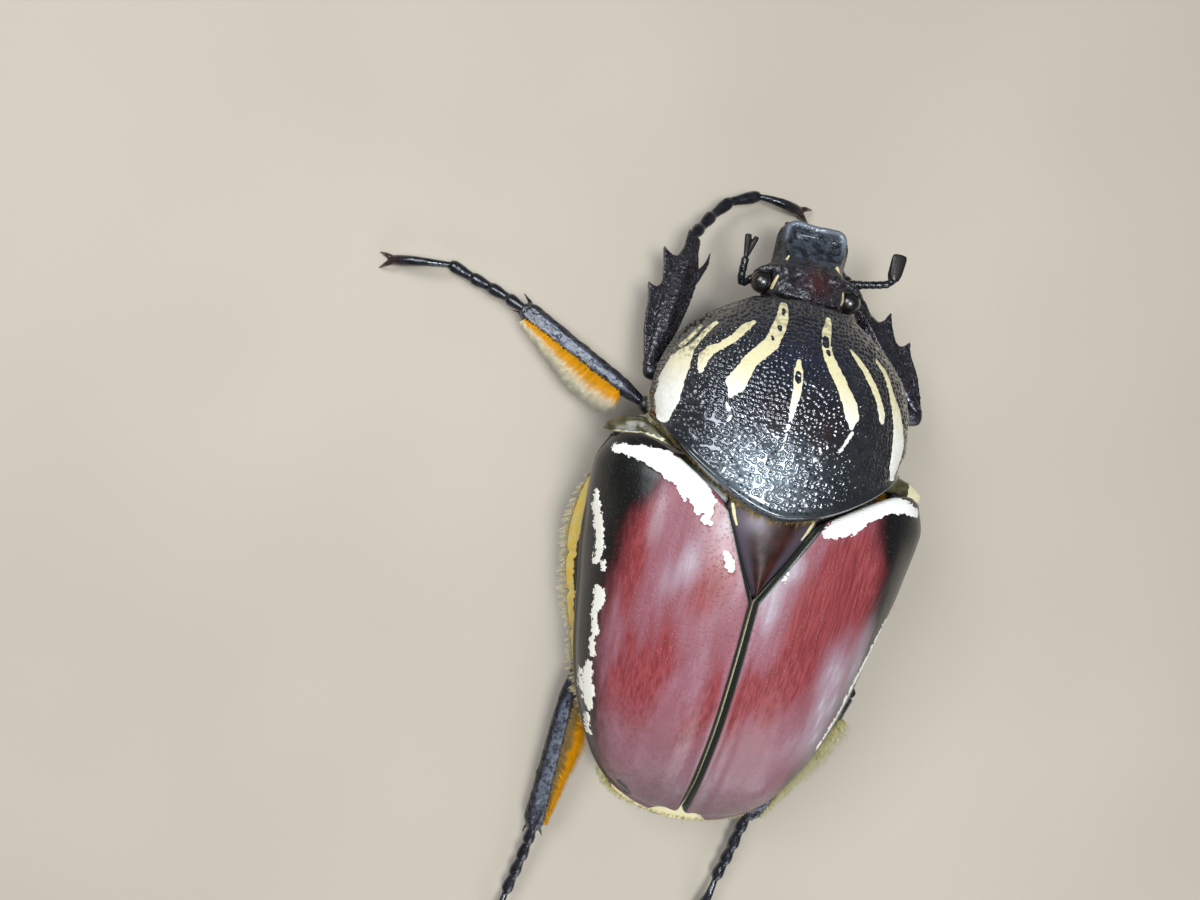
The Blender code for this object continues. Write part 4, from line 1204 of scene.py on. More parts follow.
def tibia(name, knee, apex, material):
    kind, word = name.split("_")
    side = SIDES[word]
    fore = kind == "fore"
    points, quads = fuse(tibia_parts(kind, side, knee, apex), VOXEL["tibia"], 1)
    knee, apex, length, ahead, outer = leg_axes(knee, apex, side)
    share = np.clip((points - knee) @ ahead / length, 0, 1)
    local = np.stack([(points - knee) @ ahead / 1.7, (points - knee) @ outer, points[:, 2]], axis=1)
    gap, number = pits(local, 0.34, 110)
    grain = 0.07 * np.exp(-((gap / 0.13) ** 2)) * (0.4 + number)
    rugose = 0.05 * lumps(local, 0.55, 111) + 0.03 * lumps(local, 0.25, 112)
    height = (grain if fore else rugose - 0.5 * grain) * ramp(share, 0.06, 0.15)
    sidewise = (points - knee) @ outer
    if fore:
        rib = hill(sidewise, 0, (-0.5, 0), (0.35, 1)) * ramp(share, 0.2, 0.4)
        height = height + 0.18 * rib * (1 - ramp(share, 0.85, 0.98))
    level = upward(ahead, outer)
    # Flat top of the mid and hind tibiae, which gets a painted glare
    painted_facet_glare = np.zeros(len(points))
    if not fore:
        upper = (points - knee) @ level
        flat_top = 0.70 * TIBIA_HALF_WIDTH[kind]
        points = points - level * (0.85 * np.maximum(upper - flat_top, 0))[:, None]
        painted_facet_glare = ramp(upper, flat_top - 0.25, flat_top + 0.05) * ramp(share, 0.08, 0.2)
        painted_facet_glare = painted_facet_glare * (1 - ramp(share, 0.78, 0.95))
    points = laid(points, quads, height, LOWEST["tibia"])
    node = "tibia_" + name
    piece(node, points, quads, material, {"share": share, "painted_facet_glare": painted_facet_glare}, [node])


def tarsus_parts(apex, joints, end):
    """Four short tarsomeres, a long curved one and a pair of claws."""
    points = [np.asarray(p, float) for p in (apex, *joints, end)]
    ahead = unit(points[1] - points[0])
    points[0] = points[0] + ahead * 0.1
    parts = []
    for k in range(len(points) - 2):
        a, b = points[k], points[k + 1]
        along = unit(b - a)
        path = [a - along * 0.2, a + (b - a) * 0.3, a + (b - a) * 0.62, a + (b - a) * 0.85, b]
        wide = [0.52, 0.60, 0.74, 0.77, 0.64]
        parts.append(stick(path, wide, [0.9 * w for w in wide], 30, 20, 0.6))
        side = unit(np.cross(along, (0, 0, 1)))
        for turn in (1, -1):
            root = b - along * 0.4 + side * 0.45 * turn - (0, 0, 0.25)
            parts.append(spike(root, b + along * 0.35 + side * 0.6 * turn - (0, 0, 0.4), 0.17))
    a, b = points[-2], points[-1]
    path = [a + (b - a) * s + (0, 0, math.sin(math.pi * s) * 0.8) for s in np.linspace(0, 1, 6)]
    parts.append(stick(path, [0.36, 0.42, 0.5, 0.6, 0.66, 0.6], None, 40, 20, 0.5))
    flat = unit((b - a) * (1, 1, 0))
    across = np.cross(flat, (0, 0, 1))
    for turn in (1, -1):
        line = []
        for share in (-0.1, 0.1, 0.3, 0.5, 0.7, 0.88, 1.0):
            sway = across * turn * CLAW_SPREAD * max(share, 0) ** 0.7
            out = (flat * share + sway) * CLAW_LENGTH
            height = (b[2] + 0.25 * math.sin(math.pi * share)) * (1 - abs(share) ** 1.6)
            line.append((b[0] + out[0], b[1] + out[1], height + 0.1 * share))
        parts.append(stick(line, [0.4, 0.4, 0.35, 0.28, 0.2, 0.13, 0.07], None, 40, 16, 0.5))
    return parts


def tarsus(name, apex, joints, end, material):
    points, quads = fuse(tarsus_parts(apex, joints, end), VOXEL["tarsus"], 1)
    height = -0.03 * dimples(points, 0.3, 0.08, 120) + 0.02 * lumps(points, 0.5, 121)
    points = laid(points, quads, height, LOWEST["tarsus"])
    apex, end = np.asarray(apex, float), np.asarray(end, float)
    reach = np.linalg.norm(points - apex, axis=1) / np.linalg.norm(end - apex)
    node = "tarsus_" + name
    piece(node, points, quads, material, {"share": np.clip(reach, 0, 1.3)}, [node])


# Hair


# A strand is a prism of three rings that ends in a point
STRAND_SHARES = (0.0, 0.35, 0.7)
STRAND_TAPER = np.array((1.0, 0.85, 0.5))
STRAND_ALONG = (*np.repeat(STRAND_SHARES, 3), 1.0)
TUFT_PATCH = 0.003


def hair(name, root, lie, bend, length, flat, material, strands, width=0.035, seed=1):
    """Tufts of tapering strands: root, direction, length and place on the unwrap of each tuft."""
    rng = np.random.default_rng(seed)
    count = len(root)
    root = np.repeat(root, strands, axis=0)
    bend = np.asarray(bend, float)
    lie = unit(lie)
    lie = np.repeat(lie + rng.normal(0, 0.07, lie.shape), strands, axis=0)
    lie = unit(lie + rng.normal(0, 0.08, lie.shape))
    length = length * rng.uniform(0.78, 1.08, count)
    length = np.repeat(length, strands) * rng.uniform(0.7, 1.06, count * strands)
    flat = np.repeat(flat, strands, axis=0)
    spread = rng.normal(0, 0.11, root.shape)
    side = unit(np.cross(lie, (0.13, 0.37, 0.92)))
    top = np.cross(side, lie)
    rows = []
    for share, fat in zip(STRAND_SHARES, STRAND_TAPER * width):
        middle = strand_point(root, lie, bend, length, spread, share)
        for turn in (0, 2.09, 4.19):
            rows.append(middle + side * math.cos(turn) * fat + top * math.sin(turn) * fat)
    rows.append(strand_point(root, lie, bend, length, spread, 1.0))
    points = np.stack(rows, axis=1).reshape(-1, 3)
    points[:, 2] = np.maximum(points[:, 2], 0.02)
    faces, uv = strand_faces(len(root), flat)
    tip = np.tile(STRAND_ALONG, len(root))
    shade = np.repeat(rng.uniform(0, 1, len(root)), 10)
    obj = piece(name, points, faces, material, {"tip": tip, "shade": shade}, ())
    layer = obj.data.uv_layers.new(name="OFBake")
    layer.uv.foreach_set("vector", uv.astype(np.float32).ravel())


def strand_point(root, lie, bend, length, spread, share):
    """Point of each strand at a share of its length; tips of a clump draw together."""
    reach = (length * share)[:, None]
    return root + spread * (1 - 0.55 * share) + lie * reach + bend * reach * share


def strand_faces(count, flat):
    """Faces of all strands, and for each corner its place on the unwrap."""
    quads, tris = [], []
    for low in (0, 3):
        for k in range(3):
            a, b = low + k, low + (k + 1) % 3
            quads.append((a, b, b + 3, a + 3))
    tris = [(6, 7, 9), (7, 8, 9), (8, 6, 9), (2, 1, 0)]
    start = np.arange(count)[:, None, None] * 10
    all_quads = (start + np.array(quads)[None]).reshape(-1, 4)
    all_tris = (start + np.array(tris)[None]).reshape(-1, 3)
    across = np.array((0, 1, 2, 0, 1, 2, 0, 1, 2, 1)) / 2 - 0.5
    own = np.stack([across, np.array(STRAND_ALONG) - 0.5], axis=1) * TUFT_PATCH
    places = (flat[:, None] + own[None]).reshape(-1, 2)
    uv = np.concatenate([places[all_quads.ravel()], places[all_tris.ravel()]])
    return all_quads.tolist() + all_tris.tolist(), uv


def scattered(count, seed):
    """Evenly spread pairs from 0 to 1."""
    rng = np.random.default_rng(seed)
    k = np.arange(count)
    pairs = np.stack([(k + 0.5) / count, (k * 0.6180339887) % 1], axis=1)
    return np.clip(pairs + rng.normal(0, 0.01, pairs.shape), 0, 1)


def on_map(pairs):
    """Place of each tuft on the unwrap, with a margin round it."""
    return 0.03 + 0.94 * pairs


def tibia_fringe(name, count, reach, side_turn, material, lean):
    """Fringe along one edge of a tibia, longest towards the knee."""
    kind, word = name.split("_")
    knee, _, length, ahead, outer = leg_axes(*LEGS[name][1:3], SIDES[word])
    half = TIBIA_HALF_WIDTH[kind]
    pairs = scattered(count, 7)
    share = 0.16 + 0.78 * pairs[:, 0]
    around = (pairs[:, 1] - 0.5) * 1.5
    swell = blend(share, (0, 0.12, 0.5, 0.9, 1), (0.5, 0.72, 0.88, 1.0, 0.8)) * half * 0.86
    inner = outer * side_turn
    level = upward(ahead, inner)
    out = inner * np.cos(around)[:, None] + level * np.sin(around)[:, None]
    root = knee + ahead * (share * length)[:, None] + out * swell[:, None]
    long = reach * blend(share, (0.14, 0.2, 0.35, 0.6, 0.96), (0.75, 0.97, 1.0, 0.72, 0.25))
    ahead_share = (lean * (0.4 + share) - 0.35 * ramp(-share, -0.3, -0.14))[:, None]
    lie = inner + out * 0.3 + ahead * ahead_share + (0, 0, -0.12)
    bend = ahead * 0.12 + (0, 0, -0.1)
    hair("fringe_" + name, root, lie, bend, long, on_map(pairs), material, 9, seed=11)


def femur_fringe(name, count, reach, material):
    """Pale hair along the rear edge of a femur."""
    hip, knee = (np.asarray(p, float) for p in LEGS[name][:2])
    radius = FEMUR_RADIUS[name.split("_")[0]]
    pairs = scattered(count, 8)
    share = 0.08 + 0.8 * pairs[:, 0]
    ahead = unit(knee - hip)
    back = unit(np.cross((0, 0, 1), ahead))
    back = back * np.sign(back[1])
    around = (pairs[:, 1] - 0.5) * 2.0
    out = back * np.cos(around)[:, None] + np.array((0, 0, 1.0)) * np.sin(around)[:, None]
    swell = radius * blend(share, (0, 0.3, 0.6, 0.9), (0.7, 0.95, 0.9, 0.6))
    root = hip + (knee - hip) * share[:, None] + out * swell[:, None] * 0.92
    lie = out + ahead * 0.45 + (0, 0, -0.2)
    bend = ahead * 0.3 + (0, 0, -0.25)
    long = reach * (0.7 + 0.4 * np.sin(share * 3.1))
    hair("fringe_femur_" + name, root, lie, bend, long, on_map(pairs), material, 7)


def flank_hair(word, count, material):
    """Pale hair on the trunk's flank, pointing outwards and to the rear."""
    side = SIDES[word]
    pairs = scattered(count, 21)
    y = -1.5 + 32.0 * pairs[:, 0]
    flank = blend(y, TRUNK_STATIONS, TRUNK_FLANK)
    margin = blend(y, ELYTRA_STATIONS, ELYTRA_MARGIN) - 0.5
    belly = blend(y, TRUNK_STATIONS, TRUNK_BELLY)
    angle = math.pi / 2 * (0.02 + 0.75 * pairs[:, 1])
    waist = margin - FLANK_DROP
    x = flank * np.cos(angle) ** 0.9 - 0.12
    z = waist - (waist - belly) * np.sin(angle) ** 0.9
    root = np.stack([side * x, y, z], axis=1)
    out = np.stack([side * np.cos(angle), 0 * y, -0.6 * np.sin(angle)], axis=1)
    wave = np.stack([lumps(root, 2.0, k) for k in (1, 2, 3)], 1)
    lie = out * 1.2 + (0, 0.45, 0.05) + 0.35 * wave
    bend = (0, 0.35, -0.3)
    long = blend(y, (-1.5, 3, 8, 16, 24, 31), (1.0, 1.7, 2.2, 1.7, 1.4, 0.9))
    long = long * (1 - 0.35 * pairs[:, 1]) * (0.75 + 0.35 * wave[:, 0])
    name = "hair_flank_" + word
    hair(name, root, lie, bend, long, on_map(pairs), material, 8, 0.024, 5)


def collar_hair(count, material):
    """Golden hair from under the rear edge of the pronotum."""
    pairs = scattered(count, 31)
    share = -0.97 + 1.94 * pairs[:, 0]
    x = 13.2 * share
    y = 0.85 - 6.9 * np.abs(share) ** PRONOTUM_REAR_SWEEP - 0.7
    z = pronotum_dome(x, y) - 1.0 - 0.6 * pairs[:, 1]
    root = np.stack([x, y, z], axis=1)
    lie = np.stack([0.35 * share, 1 + 0 * x, -0.38 - 0.5 * np.abs(share)], axis=1)
    bend = (0, 0.1, -0.12)
    long = 1.2 + 1.2 * np.exp(-((x / 4.2) ** 2))
    hair("hair_collar", root, lie, bend, long, on_map(pairs), material, 7, 0.03, 6)


def pronotum_hair(count, material):
    """Short pale hair from under the side margins of the pronotum."""
    pairs = scattered(count, 41)
    side = np.where(np.arange(count) % 2 == 0, 1, -1)
    y = -20.5 + 14.5 * pairs[:, 0]
    x = blend(y, PRONOTUM_STATIONS, PRONOTUM_HALF_WIDTH) - 0.5
    z = blend(y, PRONOTUM_STATIONS, PRONOTUM_MARGIN) - 0.2 - 0.3 * pairs[:, 1]
    root = np.stack([side * x, y, z], axis=1)
    lie = np.stack([side * 0.8, 0.5 + 0 * y, -0.35 + 0 * y], axis=1)
    bend = (0, 0.3, -0.15)
    long = 0.7 + 0.5 * pairs[:, 0]
    flat = np.stack([0.03 + 0.45 * pairs[:, 1] + 0.49 * (side > 0), 0.03 + 0.94 * pairs[:, 0]], 1)
    hair("hair_pronotum", root, lie, bend, long, flat, material, 5, 0.026, 9)


def rump_hair(count, material):
    """Cream hair round the pygidium."""
    pairs = scattered(count, 51)
    share = -1 + 2 * pairs[:, 0]
    y = 33.9 + 4.6 * np.cos(share * math.pi / 2) ** 0.8
    x = 9.6 * np.sin(share * math.pi / 2)
    z = 10.9 - 2.2 * pairs[:, 1]
    root = np.stack([x * 0.97, y - 0.2, z], axis=1)
    lie = np.stack([0.6 * share, 0.9 - 0.3 * np.abs(share), -0.3 + 0 * x], axis=1)
    bend = (0, 0.1, -0.35)
    long = 0.8 + 0.35 * pairs[:, 1]
    hair("hair_rump", root, lie, bend, long, on_map(pairs), material, 6, 0.03, 12)


# Materials


class Finish:
    """A material being built: a Principled shader with colour, roughness and bump from nodes."""

    def __init__(self, name, **sockets):
        self.material = bpy.data.materials.new(name)
        self.material.use_nodes = True
        self.tree = self.material.node_tree
        self.shader = self.tree.nodes["Principled BSDF"]
        for socket, value in sockets.items():
            self.shader.inputs[socket.replace("_", " ")].default_value = value
        self.spot = self.tree.nodes.new("ShaderNodeTexCoord").outputs["Object"]

    def node(self, kind, *inputs, **settings):
        made = self.tree.nodes.new("ShaderNode" + kind)
        for key, value in settings.items():
            setattr(made, key, value)
        for k, value in enumerate(inputs):
            self.feed(made.inputs[k], value)
        return made

    def feed(self, socket, value):
        if isinstance(value, bpy.types.NodeSocket):
            self.tree.links.new(value, socket)
        elif value is not None:
            socket.default_value = value

    def mask(self, word):
        return self.node("Attribute", attribute_name=word, attribute_type="GEOMETRY").outputs["Fac"]

    def math(self, operation, a, b=0.0):
        return self.node("Math", a, b, operation=operation).outputs[0]

    def times(self, a, b):
        return self.math("MULTIPLY", a, b)

    def plus(self, a, b):
        return self.math("ADD", a, b)

    def rest(self, share):
        """What is left of 1."""
        return self.math("SUBTRACT", 1.0, share)

    def step(self, value, low, high):
        """Smooth step from 0 at low to 1 at high."""
        made = self.node("MapRange", value, low, high, 0.0, 1.0, interpolation_type="SMOOTHSTEP")
        return made.outputs["Result"]

    def space(self, stretch):
        scale = tuple(1 / (MM * s) for s in stretch)
        return self.node("Mapping", self.spot, None, None, scale).outputs[0]

    def noise(self, size, detail=2.0, stretch=(1, 1, 1)):
        """Noise from 0 to 1 with lumps of that many millimetres."""
        made = self.node("TexNoise", self.space(stretch))
        made.inputs["Scale"].default_value = 1 / size
        made.inputs["Detail"].default_value = detail
        return made.outputs["Fac"]

    def cells(self, size):
        """Distance to scattered points that many millimetres apart."""
        made = self.node("TexVoronoi", self.space((1, 1, 1)))
        made.inputs["Scale"].default_value = 1 / size
        return made.outputs["Distance"]

    def mix(self, share, a, b):
        made = self.node("Mix", data_type="RGBA")
        self.feed(made.inputs["Factor"], share)
        for key, value in (("A", a), ("B", b)):
            socket = next(s for s in made.inputs if s.name == key and s.type == "RGBA")
            self.feed(socket, (*value, 1.0) if isinstance(value, tuple) else value)
        return next(s for s in made.outputs if s.type == "RGBA")

    def patches(self, size, detail, low, high):
        """Soft patches, 1 inside, of that many millimetres."""
        return self.step(self.noise(size, detail), low, high)

    def clouds(self, size, detail, low, high, a, b):
        """Two colours in such patches."""
        return self.mix(self.patches(size, detail, low, high), a, b)

    def uneven(self, size, swing, base):
        """A value that wanders up from its base in lumps of that many millimetres."""
        return self.plus(self.times(self.noise(size), swing), base)

    def set(self, socket, source):
        self.feed(self.shader.inputs[socket], source)

    def bump(self, height, depth):
        """Bump of that many millimetres."""
        made = self.node("Bump")
        made.inputs["Strength"].default_value = 1.0
        made.inputs["Distance"].default_value = depth * MM
        self.feed(made.inputs["Height"], height)
        self.set("Normal", made.outputs["Normal"])

    def done(self, colour, roughness=None):
        self.set("Base Color", colour)
        if roughness is not None:
            self.set("Roughness", roughness)
        return self.material


CREAM = (0.80, 0.71, 0.42)
WHITE = (0.92, 0.91, 0.86)
WORN = (0.19, 0.18, 0.12)


def ragged(f, inside, coarse, fine):
    """Edge of a mark, broken up by noise; 1 inside."""
    wide = f.times(f.math("SUBTRACT", f.noise(0.9, 2.0), 0.5), coarse * 2)
    small = f.times(f.math("SUBTRACT", f.noise(0.3, 2.0), 0.5), fine * 2)
    moved = f.plus(inside, f.plus(wide, small))
    return f.step(moved, -0.03, 0.03)


def granules(f, size, tall):
    """Round granules that many millimetres apart."""
    gap = f.math("DIVIDE", f.cells(size), 0.46)
    dome = f.rest(f.times(gap, gap))
    return f.times(f.math("SQRT", f.math("MAXIMUM", dome, 0.0)), tall)


def pronotum_finish():
    f = Finish("pronotum_cuticle", Coat_Weight=1.0, Coat_Roughness=0.10, Specular_IOR_Level=0.7,
               Specular_Tint=(0.80, 0.86, 1.0, 1.0))
    mark = ragged(f, f.mask("pale"), 0.14, 0.10)
    black = f.clouds(1.6, 3.0, 0.35, 0.7, (0.006, 0.007, 0.008), (0.016, 0.018, 0.019))
    # Painted sheen: blue-violet glints in patches over the front middle of the pronotum
    glint = f.times(f.mask("violet"), f.patches(0.3, 2.0, 0.35, 0.65))
    black = f.mix(glint, black, (0.008, 0.010, 0.034))
    black = f.mix(f.times(f.mask("brown"), 0.7), black, (0.020, 0.009, 0.007))
    green = f.clouds(0.7, 3.0, 0.35, 0.65, (0.010, 0.011, 0.008), (0.034, 0.036, 0.024))
    black = f.mix(f.mask("olive"), black, green)
    # Painted highlight: a blue-grey glare, broken into cells, over the rear left of the pronotum
    haze = f.times(f.mask("haze"), f.step(f.cells(0.5), 0.15, 0.45))
    black = f.mix(f.times(haze, 0.8), black, (0.20, 0.25, 0.28))
    grain = f.patches(0.5, 3.0, 0.42, 0.62)
    cream = f.mix(f.step(f.mask("rear"), -15.0, -8.0), CREAM, WHITE)
    cream = f.mix(f.times(grain, 0.22), cream, (0.62, 0.55, 0.30))
    thin = f.times(f.mask("worn_and_glare"), f.patches(0.5, 3.0, 0.40, 0.62))
    cream = f.mix(thin, cream, WORN)
    rough = f.uneven(0.4, 0.16, 0.16)
    rough = f.plus(rough, f.times(mark, 0.4))
    f.bump(f.noise(0.12, 2.0), 0.008)
    return f.done(f.mix(mark, black, cream), rough)


def elytron_finish():
    f = Finish("elytron_cuticle", Coat_Weight=0.22, Coat_Roughness=0.20, Specular_IOR_Level=0.35,
               Sheen_Weight=0.05, Sheen_Roughness=0.45, Sheen_Tint=(0.92, 0.80, 0.90, 1.0))
    streak = f.noise(0.7, 3.0, (1, 10, 1))
    thread = f.noise(0.25, 2.0, (1, 14, 1))
    broad = f.noise(3.0, 2.0, (1, 6, 1))
    swing = f.math("SUBTRACT", streak, 0.5)
    red = elytron_reds(f, swing, thread, broad)
    dark = f.plus(f.mask("black"), f.times(swing, 1.4))
    red = f.mix(f.step(dark, -2.7, -0.3), red, (0.060, 0.006, 0.008))
    red = f.mix(f.step(dark, -1.4, 0.2), red, (0.003, 0.003, 0.003))
    # Painted sheen: pale lilac over the red, and a blue-white painted glare where it is strongest;
    # partly the elytra's own pale bloom
    sheen_and_bloom_level = f.plus(f.mask("bloom"), f.times(swing, 0.7))
    red = f.mix(f.times(f.step(sheen_and_bloom_level, 0.2, 1.0), 0.55), red, (0.40, 0.33, 0.38))
    red = f.mix(f.times(f.step(sheen_and_bloom_level, 0.85, 1.3), 0.6), red, (0.66, 0.72, 0.78))
    seam = f.rest(f.step(f.mask("suture"), 0.30, 0.55))
    red = f.mix(seam, red, (0.014, 0.018, 0.013))
    red = f.mix(ragged(f, f.mask("spot"), 0.2, 0.1), red, (0.008, 0.008, 0.010))
    lip = f.times(edge_line(f), f.step(f.mask("rear"), 6.0, 12.0))
    red = f.mix(lip, red, (0.62, 0.56, 0.40))
    mark = ragged(f, f.mask("pale"), 0.42, 0.34)
    chalk = f.mix(f.step(f.mask("rear"), 2.0, 6.0), WHITE, (0.80, 0.77, 0.68))
    rough = f.plus(f.times(streak, 0.16), 0.28)
    rough = f.plus(rough, f.times(mark, 0.3))
    punctured = f.step(f.cells(0.42), 0.16, 0.34)
    fades = f.rest(f.step(f.mask("rear"), 12.0, 26.0))
    pores = f.times(punctured, fades)
    height = f.plus(pores, f.times(f.noise(0.25, 2.0, (1, 2, 1)), 0.35))
    f.bump(height, 0.030)
    return f.done(f.mix(mark, red, chalk), rough)


def elytron_reds(f, swing, thread, broad):
    """Wine red, dusky pink and the ashen rear, in long streaks."""
    fine = f.step(thread, 0.3, 0.7)
    wine = f.mix(fine, (0.18, 0.024, 0.028), (0.29, 0.056, 0.060))
    pink = f.mix(f.step(broad, 0.35, 0.65), (0.26, 0.085, 0.105), (0.33, 0.150, 0.190))
    pink = f.mix(f.times(f.patches(0.35, 2.0, 0.45, 0.7), 0.4), pink, (0.20, 0.055, 0.070))
    pink = f.mix(f.times(fine, 0.35), pink, (0.19, 0.070, 0.085))
    clear = f.plus(f.mask("deep"), f.times(swing, 1.2))
    red = f.mix(f.step(clear, 0.05, 1.0), pink, wine)
    ash = f.mix(fine, (0.17, 0.090, 0.105), (0.23, 0.135, 0.155))
    tail = f.plus(f.mask("rear"), f.times(swing, 9.0))
    red = f.mix(f.times(f.step(tail, 20.0, 35.0), 0.8), red, ash)
    return f.mix(f.times(f.step(tail, 30.0, 37.0), 0.6), red, (0.085, 0.055, 0.060))


def edge_line(f):
    """1 on the thin pale lip at the side margin."""
    return f.rest(f.step(f.mask("rim"), 0.22, 0.40))


def scutellum_finish():
    f = Finish("scutellum_cuticle", Coat_Weight=0.03, Coat_Roughness=0.20, Specular_IOR_Level=0.16)
    dark = f.clouds(1.5, 3.0, 0.35, 0.65, (0.018, 0.005, 0.004), (0.042, 0.012, 0.008))
    dark = f.mix(f.step(f.mask("side"), 0.45, 0.95), dark, (0.075, 0.060, 0.078))
    # Painted highlight: a pale patch at the front left of the scutellum
    dark = f.mix(f.times(f.mask("painted_highlight"), 0.7), dark, (0.30, 0.26, 0.30))
    mark = ragged(f, f.mask("pale"), 0.06, 0.04)
    f.bump(f.noise(0.25, 2.0), 0.010)
    rough = f.uneven(0.6, 0.18, 0.34)
    return f.done(f.mix(mark, dark, CREAM), rough)


def head_finish():
    f = Finish("head_cuticle", Coat_Weight=0.3, Coat_Roughness=0.12, Specular_IOR_Level=0.5,
               Specular_Tint=(0.85, 0.92, 1.0, 1.0))
    base = f.clouds(0.7, 3.0, 0.35, 0.65, (0.006, 0.006, 0.007), (0.032, 0.026, 0.030))
    slate = f.clouds(0.8, 3.0, 0.38, 0.62, (0.006, 0.008, 0.011), (0.050, 0.062, 0.078))
    base = f.mix(f.times(f.mask("grey"), 0.9), base, slate)
    # Painted highlight: the clypeus rim lightened to a pale blue-grey where its glints stand
    base = f.mix(f.times(f.mask("rim"), 0.7), base, (0.22, 0.26, 0.32))
    base = f.mix(f.times(f.mask("rust"), 0.8), base, (0.060, 0.014, 0.016))
    mark = ragged(f, f.mask("pale"), 0.08, 0.06)
    rough = f.uneven(0.3, 0.25, 0.16)
    height = f.plus(granules(f, 0.34, 0.8), f.times(f.noise(0.12, 3.0), 0.5))
    f.bump(height, 0.06)
    return f.done(f.mix(mark, base, (0.72, 0.58, 0.30)), rough)


def eye_finish():
    f = Finish("eye_lens", Coat_Weight=0.8, Coat_Roughness=0.06, Roughness=0.25)
    dark = f.clouds(0.8, 2.0, 0.3, 0.7, (0.003, 0.003, 0.003), (0.012, 0.008, 0.008))
    rim = f.step(f.mask("inner"), -1.3, -0.7)
    f.bump(f.cells(0.07), 0.012)
    return f.done(f.mix(rim, (0.028, 0.006, 0.003), dark))


def leg_finish(name, tint, rough, brown, grains):
    """Black cuticle with a cold sheen and granules, and a painted blue-grey glare on the flat top of
    the tibiae; brown shows towards the far end.
    """
    f = Finish(name, Coat_Weight=0.4, Coat_Roughness=0.10, Specular_IOR_Level=0.65,
               Specular_Tint=tint)
    base = f.clouds(1.0, 3.0, 0.35, 0.65, (0.004, 0.004, 0.005), (0.014, 0.012, 0.018))
    far = f.times(f.step(f.mask("share"), 0.85, 1.10), brown)
    base = f.mix(far, base, (0.045, 0.018, 0.010))
    # Painted highlight: a blue-grey glare painted in patches on the flat top of the tibiae
    worn_and_glare = f.times(f.mask("painted_facet_glare"), f.patches(0.6, 3.0, 0.32, 0.62))
    base = f.mix(f.times(worn_and_glare, 0.7), base, (0.13, 0.15, 0.19))
    value = f.uneven(0.25, 0.22, rough)
    fine = f.times(f.noise(0.10, 3.0), 0.25)
    f.bump(f.plus(granules(f, 0.32, grains), fine), 0.07)
    return f.done(base, value)


def antenna_finish():
    f = Finish("antenna_cuticle", Coat_Weight=0.2, Coat_Roughness=0.1, Specular_IOR_Level=0.4)
    base = f.clouds(0.4, 2.0, 0.4, 0.6, (0.004, 0.005, 0.006), (0.012, 0.014, 0.017))
    base = f.mix(f.step(f.mask("club"), 0.1, 0.9), base, (0.008, 0.004, 0.003))
    rough = f.plus(f.times(f.step(f.mask("club"), 0.1, 0.9), 0.4), 0.2)
    f.bump(f.noise(0.1, 2.0), 0.012)
    return f.done(base, rough)


def trunk_finish():
    f = Finish("trunk_cuticle", Coat_Weight=0.2, Coat_Roughness=0.2)
    olive = f.clouds(1.5, 3.0, 0.35, 0.65, (0.010, 0.012, 0.009), (0.030, 0.028, 0.016))
    strip = ragged(f, f.mask("flank"), 0.3, 0.1)
    grain = f.step(f.noise(0.5, 3.0, (1, 3, 1)), 0.35, 0.7)
    yellow = f.mix(grain, (0.80, 0.52, 0.06), (0.74, 0.60, 0.22))
    rough = f.uneven(0.5, 0.25, 0.25)
    f.bump(f.noise(0.2, 3.0), 0.03)
    return f.done(f.mix(strip, olive, yellow), rough)


def plate_finish(name, dark, pale):
    """Side or rear plate: dark olive with a pale scaled part."""
    f = Finish(name, Coat_Weight=0.2, Coat_Roughness=0.2)
    ground = f.clouds(0.9, 3.0, 0.35, 0.65, dark, tuple(c * 2.2 for c in dark))
    mark = ragged(f, f.mask("pale"), 0.4, 0.16)
    rough = f.plus(f.times(mark, 0.3), 0.25)
    f.bump(f.noise(0.25, 3.0), 0.02)
    return f.done(f.mix(mark, ground, pale), rough)


def prosternum_finish():
    f = Finish("prosternum_cuticle", Coat_Weight=0.2, Coat_Roughness=0.2)
    base = f.clouds(1.2, 3.0, 0.35, 0.65, (0.008, 0.009, 0.008), (0.026, 0.022, 0.014))
    rough = f.uneven(0.4, 0.25, 0.22)
    f.bump(f.noise(0.2, 3.0), 0.03)
    return f.done(base, rough)


def hair_finish(name, root, tip, turn=(0.25, 0.75)):
    """Hair that runs from a root colour to a tip colour, each strand a little different."""
    f = Finish(name, Roughness=0.5, Specular_IOR_Level=0.1)
    along = f.step(f.mask("tip"), *turn)
    light = f.mix(along, root, tip)
    dark = f.mix(along, tuple(0.62 * c for c in root), tuple(0.78 * c for c in tip))
    shade = f.times(f.step(f.mask("shade"), 0.4, 1.0), 0.7)
    tuft = f.times(f.patches(0.5, 2.0, 0.45, 0.65), 0.4)
    return f.done(f.mix(f.math("MAXIMUM", shade, tuft), light, dark))


# Floor, light and camera


def floor():
    f = Finish("floor_paint", Specular_IOR_Level=0.25)
    tone = f.clouds(60.0, 2.0, 0.3, 0.7, (0.46, 0.405, 0.335), (0.50, 0.44, 0.365))
    f.bump(f.noise(1.5, 3.0), 0.02)
    f.set("Roughness", f.uneven(20.0, 0.1, 0.6))
    turns = ((-1, -1), (1, -1), (1, 1), (-1, 1))
    corners = [(FLOOR_REACH * x, FLOOR_REACH * y, 0) for x, y in turns]
    obj = new_mesh("floor", corners, [[0, 1, 2, 3]])
    obj.data.materials.append(f.done(tone))


def in_stance(at):
    return (Vector(at) + Vector(STANCE_SHIFT)) * MM


def light(name, at, size, power, colour):
    data = bpy.data.lights.new(name, "AREA")
    data.size = size * MM
    data.energy = power
    data.color = colour
    obj = bpy.data.objects.new(name, data)
    place = in_stance(at)
    aim = in_stance(LIGHT_TARGET) - place
    obj.location = place
    obj.rotation_euler = aim.to_track_quat("-Z", "Y").to_euler()
    bpy.context.scene.collection.objects.link(obj)


